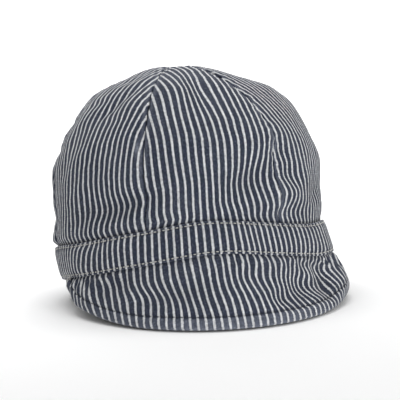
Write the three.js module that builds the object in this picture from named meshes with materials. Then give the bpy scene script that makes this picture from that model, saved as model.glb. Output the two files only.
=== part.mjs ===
// A soft round-crowned cap of striped work cotton: six sewn gores, a sewn-on band and a short soft
// peak of two cloths. It stands as it does on a table, tilted back, resting on the back of its band
// and on the lowest edge of its peak.
// Millimetres, +Z up. The peak points toward -Y and the wearer's left side is toward +X.
// Angles run round the cap in degrees: 0 is the middle of the front, 90 is the +X side.
import * as THREE from 'three';

const RADIAN = Math.PI / 180;

// How the cap stands.
const TILT = 12.3;            // the rim's slope, front raised
const FLATTENED = 1.2;        // how far the back of the band gives way where it rests

// The band: outer face at its lower and upper rims, as half-ovals round their own centres.
const LOWER_RIM = { half: 90.2, front: 100.5, back: 93.0, x: 3.5, y: 0.0 };
const UPPER_RIM = { half: 89.9, front: 96.0, back: 93.5, x: 0.0, y: 5.2 };
const BAND_HEIGHT = 21.8;
const BAND_CLOTH = 1.8;       // doubled cloth
const BAND_STEPS = 96;

// Slow waves of the soft rim, up or down.
const RIM_WAVES = [
  { at: -3, spread: 20, rise: 3.4 },
  { at: 50, spread: 20, rise: -1.6 },
  { at: -62, spread: 22, rise: -1.6 },
  { at: 80, spread: 24, rise: 4.0 },
];

// The crown's level sections: height over the band's upper edge, and size against the upper rim.
const CROWN_SECTIONS = [
  { up: 0, spread: 0.975 },
  { up: 6, spread: 0.990 },
  { up: 16, spread: 1.000 },
  { up: 35, spread: 0.993 },
  { up: 48, spread: 0.976 },
  { up: 59, spread: 0.940 },
  { up: 71, spread: 0.872 },
  { up: 83, spread: 0.777 },
  { up: 93.5, spread: 0.655 },
  { up: 101.5, spread: 0.525 },
  { up: 107.5, spread: 0.380 },
  { up: 112, spread: 0.200 },
  { up: 114, spread: 0.0 },
];
const APEX = { x: -2.0, y: -4.0 };   // where the gores meet, from the upper rim's centre
const CROWN_CLOTH = 1.4;
const CROWN_TUCK = 7.0;       // how far the gores run down inside the band
const CROWN_RADIUS = 90;      // mean radius that distances round the crown are taken at
const WAVE_FADE = 30;         // height over which the rim's waves die out in the crown
const FOLD_START = 5;         // folds die out over this distance above the band
const TIP_LEFT = 0.8;         // the gores stop this far from the apex

// Seams: angle at the band, how far each wanders on its way up, and how far it turns at the top.
const SEAMS = [
  { at: -28.7, drift: 3.0, up: 78, spread: 38, top: 7.5 },
  { at: 31, drift: 2.6, up: 60, spread: 18, top: -10 },
  { at: 90.5, drift: -1.5, up: 45, spread: 30, top: 0 },
  { at: 151, drift: 1.5, up: 40, spread: 30, top: 0 },
  { at: 211, drift: -1.5, up: 50, spread: 30, top: 0 },
  { at: 271, drift: 1.0, up: 45, spread: 30, top: 0 },
];
const SEAM_TOP = 75;          // distance over the cloth from which the seams turn
const SEAM_GAP = 0.34;

// The gores, each from one seam to the next; those with the pressed-in folds have finer steps.
const GORES = [
  { name: 'crown_gore_front', seam: 0, across: 14, along: 'fine' },
  { name: 'crown_gore_front_right', seam: 1, across: 14, along: 'fine' },
  { name: 'crown_gore_back_right', seam: 2, across: 10, along: 'plain' },
  { name: 'crown_gore_back', seam: 3, across: 10, along: 'plain' },
  { name: 'crown_gore_back_left', seam: 4, across: 10, along: 'plain' },
  { name: 'crown_gore_front_left', seam: 5, across: 14, along: 'fine' },
];
// Distances over the cloth from the band's upper edge, where the rows of a gore lie.
const GORE_ROWS = {
  fine: [0, 4, 8, 12, 16.5, 21, 26, 31, 37, 44, 52, 61, 71, 82, 94, 107, 121, 136],
  plain: [0, 6, 13, 21, 30, 40, 52, 66, 82, 99, 117, 136],
};

// Dents and bulges of the crown: angle round, distance up over the cloth, size across and along,
// turn of the fold, and how far it moves the cloth outward and sideways.
const CROWN_FOLDS = [
  { at: 88, up: 84.5, across: 34, along: 20, turn: 0, out: 5.7, side: 0 },
  { at: 84, up: 42, across: 34, along: 14, turn: 0, out: 2.6, side: 0 },
  { at: 95, up: 124, across: 30, along: 12, turn: 0, out: -2.4, side: 0 },
  { at: -95, up: 35, across: 45, along: 35, turn: 0, out: -1.2, side: 0 },
  { at: -87, up: 108, across: 28, along: 13, turn: 0, out: 1.5, side: 0 },
  { at: -97, up: 8, across: 30, along: 10, turn: 0, out: 2.4, side: 0 },
  { at: 18, up: 27, across: 24, along: 11, turn: 30, out: -2.6, side: -2.0 },
  { at: 22, up: 10, across: 30, along: 7, turn: 8, out: 1.4, side: 0.6 },
  { at: 14, up: 54, across: 30, along: 14, turn: 0, out: 1.6, side: 0.4 },
  { at: 38, up: 20, across: 12, along: 7, turn: 0, out: 1.2, side: 2.0 },
  { at: 42, up: 7, across: 14, along: 5, turn: 0, out: -1.2, side: -1.0 },
  { at: 62, up: 22, across: 22, along: 9, turn: 12, out: -2.4, side: 0 },
  { at: -42, up: 17, across: 30, along: 8, turn: 8, out: -3.2, side: 0.8 },
  { at: -46, up: 34, across: 34, along: 12, turn: 0, out: 1.2, side: 0.4 },
  { at: -50, up: 4, across: 36, along: 6, turn: 0, out: 1.0, side: -1.0 },
  { at: -31, up: 20, across: 9, along: 5, turn: 20, out: -1.0, side: 1.0 },
  { at: 128, up: 24, across: 36, along: 12, turn: -7, out: -3.0, side: 0 },
  { at: 176, up: 30, across: 34, along: 13, turn: 6, out: -3.4, side: 1.0 },
  { at: 232, up: 22, across: 36, along: 11, turn: -5, out: -3.0, side: 0 },
];

// The peak: its outer edge as a rounded plan that lies on the table in front and rises at the sides.
const PEAK_EDGE = { half: 94.7, back: 0.0, front: 129.5, roundness: 2.0, x: 5.3 };
const PEAK_SIDE_RISE = 9.0;
const PEAK_SIDE_POWER = 6.4;  // how late along the edge the rise begins
const PEAK_TOUCH = 0.3;       // depth of the edge that lies flat
const PEAK_CLOTH = 1.3;
const PEAK_GAP = 0.5;         // between the two cloths
const PEAK_INSET = 2.1;       // the cloths leave the band this far inside its outer face
const PEAK_DROP = 0.35;       // and this far under its lower edge
const PEAK_TUCK = 5.0;        // how far they run up inside the band
const PEAK_BOW = 5.0;         // rise of the peak's arch over a straight line from rim to edge
const PEAK_FULL_DEPTH = 50;   // depth at which the arch has its full rise
const PEAK_JOIN = 70;         // from this angle to 90 the edge runs up to the band
const PEAK_END_DROP = 3.0;    // height of the peak's ends under the band
const PEAK_LEAST_CUT = 0.5;   // bounds the width of the level cut where the cloth lies flat
const PEAK_NARROW = 15;       // where the peak is narrower, its edge is cut square to the cloth
const PEAK_STEPS = 56;
const PEAK_ROWS = [0, 0.1, 0.22, 0.36, 0.5, 0.64, 0.78, 0.9, 1];
const PEAK_FOLD_RADIUS = 100; // mean radius and depth that distances over the peak are taken at
const PEAK_FOLD_DEPTH = 55;
const PEAK_FOLDS = [
  { at: -18, down: 0.52, across: 26, along: 9, turn: -8, out: -2.6 },
  { at: -48, down: 0.30, across: 16, along: 8, turn: -20, out: -2.0 },
  { at: 27, down: 0.62, across: 22, along: 9, turn: -14, out: -2.2 },
  { at: 44, down: 0.55, across: 9, along: 22, turn: -18, out: -3.2 },
  { at: 61, down: 0.60, across: 10, along: 16, turn: -10, out: 2.6 },
  { at: 33, down: 0.22, across: 20, along: 9, turn: 0, out: 1.4 },
];

const CLOTH_COLOURS = { crown: 0x4f5668, band: 0x515869, peak: 0x4c5365, underside: 0x474e60 };

// Steps that a surface's slope is taken over: degrees round, and millimetres over the cloth.
const NEAR_ANGLE = 0.3;
const NEAR_LENGTH = 0.4;

const clamp = (value, low, high) => Math.min(high, Math.max(low, value));
const smooth = (t) => t * t * (3 - 2 * t);
const turnBetween = (a, b) => ((a - b + 540) % 360) - 180;

// Point on an oval rim, and the rim's wave, at an angle in degrees.
function rimPoint(rim, angle, z = 0, spread = 1) {
  const s = Math.sin(angle * RADIAN);
  const c = Math.cos(angle * RADIAN);
  const depth = c > 0 ? rim.front : rim.back;
  return new THREE.Vector3(rim.half * spread * s + rim.x, -depth * spread * c + rim.y, z);
}

function rimWave(angle) {
  return RIM_WAVES.reduce((sum, wave) => {
    const away = turnBetween(angle, wave.at) / wave.spread;
    return sum + wave.rise * Math.exp(-away * away);
  }, 0);
}

// Outer face of the band; part is 0 at its lower edge and 1 at its upper edge.
function bandPoint(angle, part) {
  const low = rimPoint(LOWER_RIM, angle);
  const high = rimPoint(UPPER_RIM, angle, BAND_HEIGHT);
  const point = low.lerp(high, part);
  point.z += rimWave(angle);
  return point;
}

// Unit direction toward the band's axis, level.
function inward(angle) {
  const s = Math.sin(angle * RADIAN);
  const c = Math.cos(angle * RADIAN);
  const depth = c > 0 ? LOWER_RIM.front : LOWER_RIM.back;
  return new THREE.Vector3(-s / LOWER_RIM.half, c / depth, 0).normalize();
}

// The crown's profile: a smooth curve through its sections, by distance over the cloth.
const profile = CROWN_SECTIONS.map(({ up, spread }) => ({ up, radius: spread * UPPER_RIM.half }));
const stations = profile.reduce((list, point, i) => {
  const before = profile[Math.max(0, i - 1)];
  const step = Math.hypot(point.up - before.up, point.radius - before.radius);
  return [...list, (list[i - 1] ?? 0) + step];
}, []);
const CROWN_LENGTH = stations[stations.length - 1];

function profileSlope(i, key) {
  const a = Math.max(0, i - 1);
  const b = Math.min(profile.length - 1, i + 1);
  return (profile[b][key] - profile[a][key]) / (stations[b] - stations[a]);
}

function profileAt(distance, key) {
  const last = stations.length - 2;
  const i = clamp(stations.findIndex((_, k) => k > last || distance < stations[k + 1]), 0, last);
  const span = stations[i + 1] - stations[i];
  const t = clamp((distance - stations[i]) / span, 0, 1);
  const rest = 1 - t;
  return (1 + 2 * t) * rest * rest * profile[i][key] + t * rest * rest * span * profileSlope(i, key)
    + t * t * (3 - 2 * t) * profile[i + 1][key] - t * t * rest * span * profileSlope(i + 1, key);
}

// The crown before it is folded, at a distance over the cloth from the band's upper edge. Below
// that edge the cloth runs straight down inside the band.
function crownForm(angle, distance) {
  const tip = CROWN_SECTIONS[CROWN_SECTIONS.length - 1].up;
  if (distance < 0) {
    const point = bandPoint(angle, 1 + distance / BAND_HEIGHT);
    const centre = new THREE.Vector3(UPPER_RIM.x, UPPER_RIM.y, point.z);
    return centre.lerp(point, CROWN_SECTIONS[0].spread);
  }
  const up = profileAt(distance, 'up');
  const spread = profileAt(distance, 'radius') / UPPER_RIM.half;
  const point = rimPoint(UPPER_RIM, angle, BAND_HEIGHT + up, spread);
  point.x += APEX.x * up / tip;
  point.y += APEX.y * up / tip;
  point.z += rimWave(angle) * Math.exp(-up / WAVE_FADE);
  return point;
}

// Outward normal and sideways direction of a surface given by angle and distance.
function surfaceFrame(surface, angle, distance) {
  const side = surface(angle + NEAR_ANGLE, distance).sub(surface(angle - NEAR_ANGLE, distance));
  const along = surface(angle, distance + NEAR_LENGTH).sub(surface(angle, distance - NEAR_LENGTH));
  return { out: side.clone().cross(along).normalize(), side: side.normalize() };
}

// How far the folds of a table move a place, outward and sideways.
function foldShift(folds, angle, distance, radius) {
  const shift = { out: 0, side: 0 };
  for (const fold of folds) {
    const across = turnBetween(angle, fold.at) * RADIAN * radius;
    const along = distance - fold.up;
    const c = Math.cos(fold.turn * RADIAN);
    const s = Math.sin(fold.turn * RADIAN);
    const a = (across * c + along * s) / fold.across;
    const b = (along * c - across * s) / fold.along;
    const weight = Math.exp(-a * a - b * b);
    shift.out += fold.out * weight;
    shift.side += (fold.side ?? 0) * weight;
  }
  return shift;
}

function crownPoint(angle, distance) {
  const point = crownForm(angle, distance);
  if (distance <= 0) return point;
  const shift = foldShift(CROWN_FOLDS, angle, distance, profileAt(distance, 'radius'));
  const inForm = clamp(distance, NEAR_LENGTH, CROWN_LENGTH - NEAR_LENGTH);
  const frame = surfaceFrame(crownForm, angle, inForm);
  const start = smooth(clamp(distance / FOLD_START, 0, 1));
  return point.addScaledVector(frame.out, shift.out * start)
    .addScaledVector(frame.side, shift.side * start);
}

// From the cap's own frame to the way it stands.
function stand(point) {
  point.applyAxisAngle(new THREE.Vector3(1, 0, 0), -TILT * RADIAN);
  point.z += LOWER_RIM.back * Math.sin(TILT * RADIAN) - FLATTENED;
  return point;
}

// A closed shell between two grids of the same size, each a list of rows of points. Rows may end in
// a single point, and a ring's rows close on themselves.
function shell(outer, inner, isRing = false) {
  const positions = [];
  const faces = [];
  const place = (point) => positions.push(point.x, point.y, point.z) / 3 - 1;
  const outside = outer.map((row) => row.map(place));
  const inside = inner.map((row) => row.map(place));
  const quad = (a, b, c, d) => {
    if (a !== b && b !== c) faces.push(a, b, c);
    if (a !== d && c !== d) faces.push(a, c, d);
  };
  const across = Math.max(...outside.map((row) => row.length));
  const at = (row, i) => row[row.length === 1 ? 0 : (i % row.length)];
  const steps = isRing ? across : across - 1;
  for (let i = 0; i < steps; i += 1) {
    for (let k = 0; k + 1 < outside.length; k += 1) {
      quad(at(outside[k], i), at(outside[k], i + 1), at(outside[k + 1], i + 1), at(outside[k + 1], i));
      quad(at(inside[k], i + 1), at(inside[k], i), at(inside[k + 1], i), at(inside[k + 1], i + 1));
    }
    const last = outside.length - 1;
    quad(at(inside[0], i), at(inside[0], i + 1), at(outside[0], i + 1), at(outside[0], i));
    if (outside[last].length > 1) {
      quad(at(outside[last], i), at(outside[last], i + 1), at(inside[last], i + 1), at(inside[last], i));
    }
  }
  for (let k = 0; !isRing && k + 1 < outside.length; k += 1) {
    const end = across - 1;
    quad(at(inside[k], 0), at(outside[k], 0), at(outside[k + 1], 0), at(inside[k + 1], 0));
    quad(at(outside[k], end), at(inside[k], end), at(inside[k + 1], end), at(outside[k + 1], end));
  }
  const geometry = new THREE.BufferGeometry();
  geometry.setAttribute('position', new THREE.Float32BufferAttribute(positions, 3));
  geometry.setIndex(faces);
  geometry.computeVertexNormals();
  return geometry;
}

function clothMesh(name, geometry, color) {
  const material = new THREE.MeshStandardMaterial({ color, roughness: 0.95, metalness: 0 });
  const mesh = new THREE.Mesh(geometry, material);
  mesh.name = name;
  return mesh;
}

// Flat where it rests: nothing reaches below the table.
const onTable = (point) => point.setZ(Math.max(0, point.z));

function makeBand() {
  const parts = [0, 0.5, 1];
  const angles = Array.from({ length: BAND_STEPS }, (_, i) => (i * 360) / BAND_STEPS);
  const rowAt = (part, inset) => angles.map((angle) => (
    onTable(stand(bandPoint(angle, part).addScaledVector(inward(angle), inset)))));
  const outer = parts.map((part) => rowAt(part, 0));
  const inner = parts.map((part) => rowAt(part, BAND_CLOTH));
  return clothMesh('band', shell(outer, inner, true), CLOTH_COLOURS.band);
}

function seamAngle(seam, distance) {
  const away = (distance - seam.up) / seam.spread;
  const turned = smooth(clamp((distance - SEAM_TOP) / (CROWN_LENGTH - SEAM_TOP), 0, 1));
  return seam.at + seam.drift * Math.exp(-away * away) + seam.top * turned;
}

function makeGore({ name, seam, across, along }) {
  const from = SEAMS[seam];
  const to = SEAMS[(seam + 1) % SEAMS.length];
  const fullTurn = to.at < from.at ? 360 : 0;
  const outer = [];
  const inner = [];
  const addRow = (distance, columns) => {
    const radius = distance < 0 ? CROWN_RADIUS : profileAt(distance, 'radius');
    const gap = SEAM_GAP / 2 / radius / RADIAN;
    const start = seamAngle(from, distance) + gap;
    const end = seamAngle(to, distance) + fullTurn - gap;
    const angles = Array.from({ length: columns + 1 }, (_, i) => (
      columns ? start + ((end - start) * i) / columns : (start + end) / 2));
    outer.push(angles.map((angle) => stand(crownPoint(angle, distance))));
    inner.push(angles.map((angle) => {
      const { out } = surfaceFrame(crownPoint, angle, distance);
      return stand(crownPoint(angle, distance).addScaledVector(out, -CROWN_CLOTH));
    }));
  };
  addRow(-CROWN_TUCK, across);
  GORE_ROWS[along].forEach((distance) => addRow(distance, across));
  addRow(CROWN_LENGTH - TIP_LEFT, 0);
  return clothMesh(name, shell(outer, inner), CLOTH_COLOURS.crown);
}

// Where the peak's cloth comes out from under the band, and its outer edge. Angles go from -90 to
// 90, and at the ends the edge runs up to the band.
function peakRim(angle, up = -PEAK_DROP) {
  return stand(bandPoint(angle, up / BAND_HEIGHT).addScaledVector(inward(angle), PEAK_INSET));
}

function peakEdge(angle) {
  const s = Math.sin(angle * RADIAN);
  const c = Math.max(0, Math.cos(angle * RADIAN));
  const power = 2 / PEAK_EDGE.roundness;
  const rise = PEAK_SIDE_RISE * Math.abs(s) ** PEAK_SIDE_POWER - PEAK_TOUCH;
  const edge = new THREE.Vector3(
    PEAK_EDGE.half * Math.sign(s) * Math.abs(s) ** power + PEAK_EDGE.x,
    PEAK_EDGE.back - PEAK_EDGE.front * c ** power,
    Math.max(0, rise),
  );
  const toBand = smooth(clamp((Math.abs(angle) - PEAK_JOIN) / (90 - PEAK_JOIN), 0, 1));
  const end = peakRim(angle).add(new THREE.Vector3(0, 0, -PEAK_END_DROP));
  return edge.lerp(end, toBand);
}

// Upper face of the peak; down is 0 at the band and 1 at the outer edge.
function peakPoint(angle, down) {
  const rim = peakRim(angle);
  const fall = peakEdge(angle).sub(rim);
  const depth = fall.length();
  const side = peakRim(angle + NEAR_ANGLE).sub(peakRim(angle - NEAR_ANGLE));
  const out = side.cross(fall).negate().normalize();
  if (out.z < 0) out.negate();
  const middle = 4 * down * (1 - down);
  const arch = PEAK_BOW * middle * Math.min(1, depth / PEAK_FULL_DEPTH);
  const folds = PEAK_FOLDS.map((fold) => ({ ...fold, up: fold.down * PEAK_FOLD_DEPTH }));
  const shift = foldShift(folds, angle, down * PEAK_FOLD_DEPTH, PEAK_FOLD_RADIUS);
  return rim.addScaledVector(fall, down).addScaledVector(out, arch + shift.out * smooth(middle));
}

// Where a layer at a depth under the peak's upper face lies, at each row of one cut from the band
// to the edge: it follows the bend under the band, and its outer edge is cut level with the table.
function peakCut(angle, layerDepth) {
  const line = [peakRim(angle, PEAK_TUCK), ...PEAK_ROWS.map((down) => peakPoint(angle, down))];
  const last = line.length - 1;
  const depth = line[1].distanceTo(line[last]);
  const cutShare = smooth(clamp((depth - PEAK_NARROW) / PEAK_NARROW, 0, 1));
  return line.map((point, i) => {
    const down = PEAK_ROWS[Math.max(0, i - 1)];
    const side = peakPoint(angle + NEAR_ANGLE, down).sub(peakPoint(angle - NEAR_ANGLE, down));
    const under = (a, b) => side.clone().cross(b.clone().sub(a)).normalize();
    const before = under(line[Math.max(0, i - 1)], line[Math.max(1, i)]);
    const after = under(line[Math.min(last - 1, i)], line[Math.min(last, i + 1)]);
    const mean = before.clone().add(after).normalize();
    const moved = point.clone();
    if (i < last) return moved.addScaledVector(mean, layerDepth / mean.dot(after));
    const level = mean.clone().setZ(0);
    const cut = level.clone().normalize().divideScalar(Math.max(level.length(), PEAK_LEAST_CUT));
    return moved.addScaledVector(mean.lerp(cut, cutShare), layerDepth);
  });
}

function makePeakCloth(name, layerDepth, color) {
  const angles = Array.from({ length: PEAK_STEPS + 1 }, (_, i) => -90 + (i * 180) / PEAK_STEPS);
  const face = (depth) => {
    const cuts = angles.map((angle) => peakCut(angle, depth).map(onTable));
    return cuts[0].map((_, row) => cuts.map((cut) => cut[row]));
  };
  return clothMesh(name, shell(face(layerDepth + PEAK_CLOTH), face(layerDepth)), color);
}

// The origin is the middle of the whole cap's box, on the table that it stands on.
function centreOnTable(group) {
  group.updateMatrixWorld(true);
  const middle = new THREE.Box3().setFromObject(group, true).getCenter(new THREE.Vector3());
  group.position.set(-middle.x, -middle.y, 0);
  return group;
}

const cap = new THREE.Group();
cap.name = 'striped_work_cap';
GORES.forEach((gore) => cap.add(makeGore(gore)));
cap.add(makeBand());
cap.add(makePeakCloth('peak_top', 0, CLOTH_COLOURS.peak));
cap.add(makePeakCloth('peak_under', PEAK_CLOTH + PEAK_GAP, CLOTH_COLOURS.underside));

export default centreOnTable(cap);
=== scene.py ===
"""A soft round-crowned work cap of striped cotton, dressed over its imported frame.

The shape is worked out in millimetres in the cap's own frame, from the band's two rims, and is
tilted back and set on the table at the end. Angles run round the cap in degrees: 0 is the middle of
the front, 90 is the +X side. Meshes are in metres.
"""
import math
from collections import namedtuple

import bpy
import numpy as np
from mathutils import Matrix, Vector


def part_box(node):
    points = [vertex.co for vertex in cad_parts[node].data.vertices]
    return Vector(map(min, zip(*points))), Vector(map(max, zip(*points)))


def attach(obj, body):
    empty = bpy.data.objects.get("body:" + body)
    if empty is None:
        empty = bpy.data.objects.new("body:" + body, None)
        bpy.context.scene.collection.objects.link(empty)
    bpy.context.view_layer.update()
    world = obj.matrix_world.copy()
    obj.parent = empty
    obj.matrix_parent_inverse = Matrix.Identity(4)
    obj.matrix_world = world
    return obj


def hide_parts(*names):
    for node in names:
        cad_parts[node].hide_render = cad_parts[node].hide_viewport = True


bl_info = {
    "name": "Striped Work Cap",
    "version": (1, 0, 0),
    "blender": (4, 5, 0),
    "location": "View3D > Sidebar > Cap",
    "description": "Six-gore cap of striped cotton with a band, a soft peak and its stitching",
    "category": "Object",
}

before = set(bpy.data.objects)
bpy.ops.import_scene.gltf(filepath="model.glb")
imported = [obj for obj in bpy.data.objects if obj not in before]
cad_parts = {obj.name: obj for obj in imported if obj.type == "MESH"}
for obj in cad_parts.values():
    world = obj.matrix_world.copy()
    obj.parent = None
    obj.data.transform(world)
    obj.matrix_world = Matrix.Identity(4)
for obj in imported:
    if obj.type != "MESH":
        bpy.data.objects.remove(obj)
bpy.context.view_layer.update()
BODY = "root"

# Shape of the cap, in millimetres and degrees
MM = 0.001
TILT = 12.3
FLATTENED = 1.2
Rim = namedtuple("Rim", "half front back x y")
LOWER_RIM = Rim(half=90.2, front=100.5, back=93.0, x=3.5, y=0.0)
UPPER_RIM = Rim(half=89.9, front=96.0, back=93.5, x=0.0, y=5.2)
BAND_HEIGHT = 21.8
BAND_CLOTH = 1.8

Wave = namedtuple("Wave", "at spread rise")
RIM_WAVES = (
    Wave(-3, 20, 3.4),
    Wave(50, 20, -1.6),
    Wave(-62, 22, -1.6),
    Wave(80, 24, 4.0),
)

Section = namedtuple("Section", "up spread")
CROWN_SECTIONS = (
    Section(0, 0.975),
    Section(6, 0.990),
    Section(16, 1.000),
    Section(35, 0.993),
    Section(48, 0.976),
    Section(59, 0.940),
    Section(71, 0.872),
    Section(83, 0.777),
    Section(93.5, 0.655),
    Section(101.5, 0.525),
    Section(107.5, 0.380),
    Section(112, 0.200),
    Section(114, 0.0),
)
APEX = (-2.0, -4.0)
CROWN_CLOTH = 1.2
CROWN_TUCK = 7.0
WAVE_FADE = 30.0
FOLD_START = 5.0

# How far apart the points lie that a surface's direction is taken from
NEAR_ANGLE = 0.3
NEAR_LENGTH = 0.4

# Seams: angle at the band, how far each wanders on its way up, and how far it turns at the top.
Seam = namedtuple("Seam", "at drift up spread top")
SEAMS = (
    Seam(-28.7, 3.0, 78, 38, 7.5),
    Seam(31, 2.6, 60, 18, -10.0),
    Seam(90.5, -1.5, 45, 30, 0.0),
    Seam(151, 1.5, 40, 30, 0.0),
    Seam(211, -1.5, 50, 30, 0.0),
    Seam(271, 1.0, 45, 30, 0.0),
)
SEAM_TOP = 75.0
GORE_NAMES = ("front", "front_right", "back_right", "back", "back_left", "front_left")

# Dents and bulges: where, how far across and along, turned how far, and how far the cloth moves
# outward and sideways.
Fold = namedtuple("Fold", "at up across along turn out side")
CROWN_FOLDS = (
    # the crown's outline: a shoulder on the +X side, with the cloth above it sunk
    Fold(88, 84.5, 34, 20, 0, 5.3, 0),
    Fold(68, 101, 14, 8, 0, 1.3, 0),
    Fold(84, 42, 34, 14, 0, 2.6, 0),
    Fold(95, 124, 30, 12, 0, -2.4, 0),
    Fold(-95, 35, 45, 35, 0, -1.2, 0),
    Fold(-87, 108, 28, 13, 0, 1.5, 0),
    # the front gore
    Fold(18, 27, 24, 11, 30, -2.6, -3.0),
    Fold(24, 4, 26, 8, 0, 0.6, -1.8),
    Fold(22, 10, 30, 6, 8, 1.4, 0.6),
    Fold(14, 54, 30, 14, 0, 1.6, 0.4),
    Fold(-16, 30, 26, 16, 0, 0.3, 1.4),
    Fold(-18, 18, 30, 26, 0, 0, 1.0),
    Fold(-4, 94, 3.5, 26, 0, -1.3, 0),
    Fold(-14, 94, 12, 20, 0, 0.5, 1.6),
    Fold(6, 96, 10, 20, 0, 0.3, -1.0),
    # beside the seam on the +X side
    Fold(38, 20, 12, 6, 0, 1.2, 2.4),
    Fold(42, 8, 14, 5, 0, -1.2, -1.4),
    Fold(40, 31, 10, 6, 10, -1.0, -1.6),
    Fold(37, 46, 10, 6, 0, -0.6, -1.6),
    Fold(38, 60, 10, 7, 0, 0.6, 1.4),
    Fold(62, 22, 22, 9, 12, -2.4, 0),
    # the gore at the front on the -X side
    Fold(-42, 17, 30, 8, 8, -3.2, 0.8),
    Fold(-46, 34, 34, 12, 0, 1.2, 0.4),
    Fold(-50, 4, 36, 6, 0, 0.8, 0),
    Fold(-68, 57, 14, 18, 0, 0.4, 1.8),
    Fold(-31, 20, 9, 5, 20, -1.0, 0.4),
    Fold(-47, 92, 4, 22, -38, -1.5, 0),
    Fold(-56, 96, 9, 20, -38, 1.2, 1.6),
    Fold(-38, 88, 9, 18, -38, 0.6, -1.6),
    Fold(-98, 84, 24, 4, 12, -1.6, 0),
    Fold(-98, 66, 24, 4, -8, -1.4, 0),
    Fold(-98, 48, 24, 6, 8, 1.2, 0),
    Fold(-98, 33, 24, 7, 0, 0.2, 0),
    Fold(-92, 20, 26, 4, 0, -0.9, 0),
    Fold(-97, 4, 30, 7, 0, 2.6, 0),
    # the back
    Fold(128, 24, 36, 12, -7, -3.0, 0),
    Fold(176, 30, 34, 13, 6, -3.4, 1.0),
    Fold(232, 22, 36, 11, -5, -3.0, 0),
)
BAND_FOLDS = (
    Fold(-95, 8, 26, 14, 0, 1.2, 0),
)

Edge = namedtuple("Edge", "half back front roundness x")
PEAK_EDGE = Edge(half=94.7, back=0.0, front=129.5, roundness=2.0, x=5.3)
PEAK_SIDE_RISE = 9.0
PEAK_SIDE_POWER = 6.4
PEAK_TOUCH = 0.3
PEAK_INSET = 2.1
PEAK_DROP = 0.35
PEAK_TUCK = 5.0
PEAK_BOW = 5.0
PEAK_FULL_DEPTH = 50.0
PEAK_JOIN = 70.0
PEAK_END_DROP = 3.0
PEAK_FOLD_RADIUS = 100.0
PEAK_FOLD_DEPTH = 55.0
PEAK_FOLDS = (
    Fold(-76, 28, 14, 22, 0, 1.6, 0),
    Fold(-18, 28.6, 26, 9, -8, -2.6, 0),
    Fold(-48, 16.5, 16, 8, -20, -2.0, 0),
    Fold(27, 34.1, 22, 9, -14, -2.2, 0),
    Fold(44, 30.2, 9, 22, -18, -3.2, 0),
    Fold(61, 33.0, 10, 16, -10, 2.6, 0),
    Fold(33, 12.1, 20, 9, 0, 1.4, 0),
)


def smooth(t):
    """Goes from 0 to 1 with flat ends."""
    t = np.clip(t, 0.0, 1.0)
    return t * t * (3 - 2 * t)


def turn_between(a, b):
    """Angle from b to a, between -180 and 180 degrees."""
    return (a - b + 540.0) % 360.0 - 180.0


def points_of(x, y, z):
    """Three arrays as one array of points."""
    return np.stack(np.broadcast_arrays(x, y, z), axis=-1).astype(float)


def rim_points(rim, angle, z=0.0, spread=1.0):
    """Points on an oval rim."""
    turn = np.radians(angle)
    depth = np.where(np.cos(turn) > 0, rim.front, rim.back)
    x = rim.half * spread * np.sin(turn) + rim.x
    y = -depth * spread * np.cos(turn) + rim.y
    return points_of(x, y, z)


def rim_wave(angle):
    """How far the soft rim waves up or down."""
    total = np.zeros(np.shape(angle))
    for wave in RIM_WAVES:
        total = total + wave.rise * np.exp(-(turn_between(angle, wave.at) / wave.spread) ** 2)
    return total


def band_points(angle, part):
    """Outer face of the band: part is 0 at its lower edge and 1 at its upper edge."""
    part = np.asarray(part, float)[..., None]
    low = rim_points(LOWER_RIM, angle)
    high = rim_points(UPPER_RIM, angle, BAND_HEIGHT)
    points = low + (high - low) * part
    points[..., 2] += rim_wave(angle)
    return points


def inward(angle):
    """Level unit direction from the band's face toward its axis."""
    turn = np.radians(angle)
    depth = np.where(np.cos(turn) > 0, LOWER_RIM.front, LOWER_RIM.back)
    way = points_of(-np.sin(turn) / LOWER_RIM.half, np.cos(turn) / depth, 0.0)
    return way / np.linalg.norm(way, axis=-1, keepdims=True)


PROFILE = np.array([(s.up, s.spread * UPPER_RIM.half) for s in CROWN_SECTIONS])
STATIONS = np.concatenate([[0.0], np.cumsum(np.linalg.norm(np.diff(PROFILE, axis=0), axis=1))])
CROWN_LENGTH = STATIONS[-1]
SLOPES = np.gradient(PROFILE, axis=0)
SLOPES[1:-1] = (PROFILE[2:] - PROFILE[:-2]) / (STATIONS[2:] - STATIONS[:-2])[:, None]
SLOPES[0] = (PROFILE[1] - PROFILE[0]) / (STATIONS[1] - STATIONS[0])
SLOPES[-1] = (PROFILE[-1] - PROFILE[-2]) / (STATIONS[-1] - STATIONS[-2])


def crown_profile(distance):
    """Height over the band's upper edge and radius, at a distance over the cloth."""
    distance = np.asarray(distance, float)
    i = np.clip(np.searchsorted(STATIONS, distance, side="right") - 1, 0, len(STATIONS) - 2)
    span = (STATIONS[i + 1] - STATIONS[i])[..., None]
    t = np.clip((distance[..., None] - STATIONS[i][..., None]) / span, 0.0, 1.0)
    rest = 1 - t
    found = (
        (1 + 2 * t) * rest * rest * PROFILE[i]
        + t * rest * rest * span * SLOPES[i]
        + t * t * (3 - 2 * t) * PROFILE[i + 1]
        - t * t * rest * span * SLOPES[i + 1]
    )
    return found[..., 0], found[..., 1]


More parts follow.
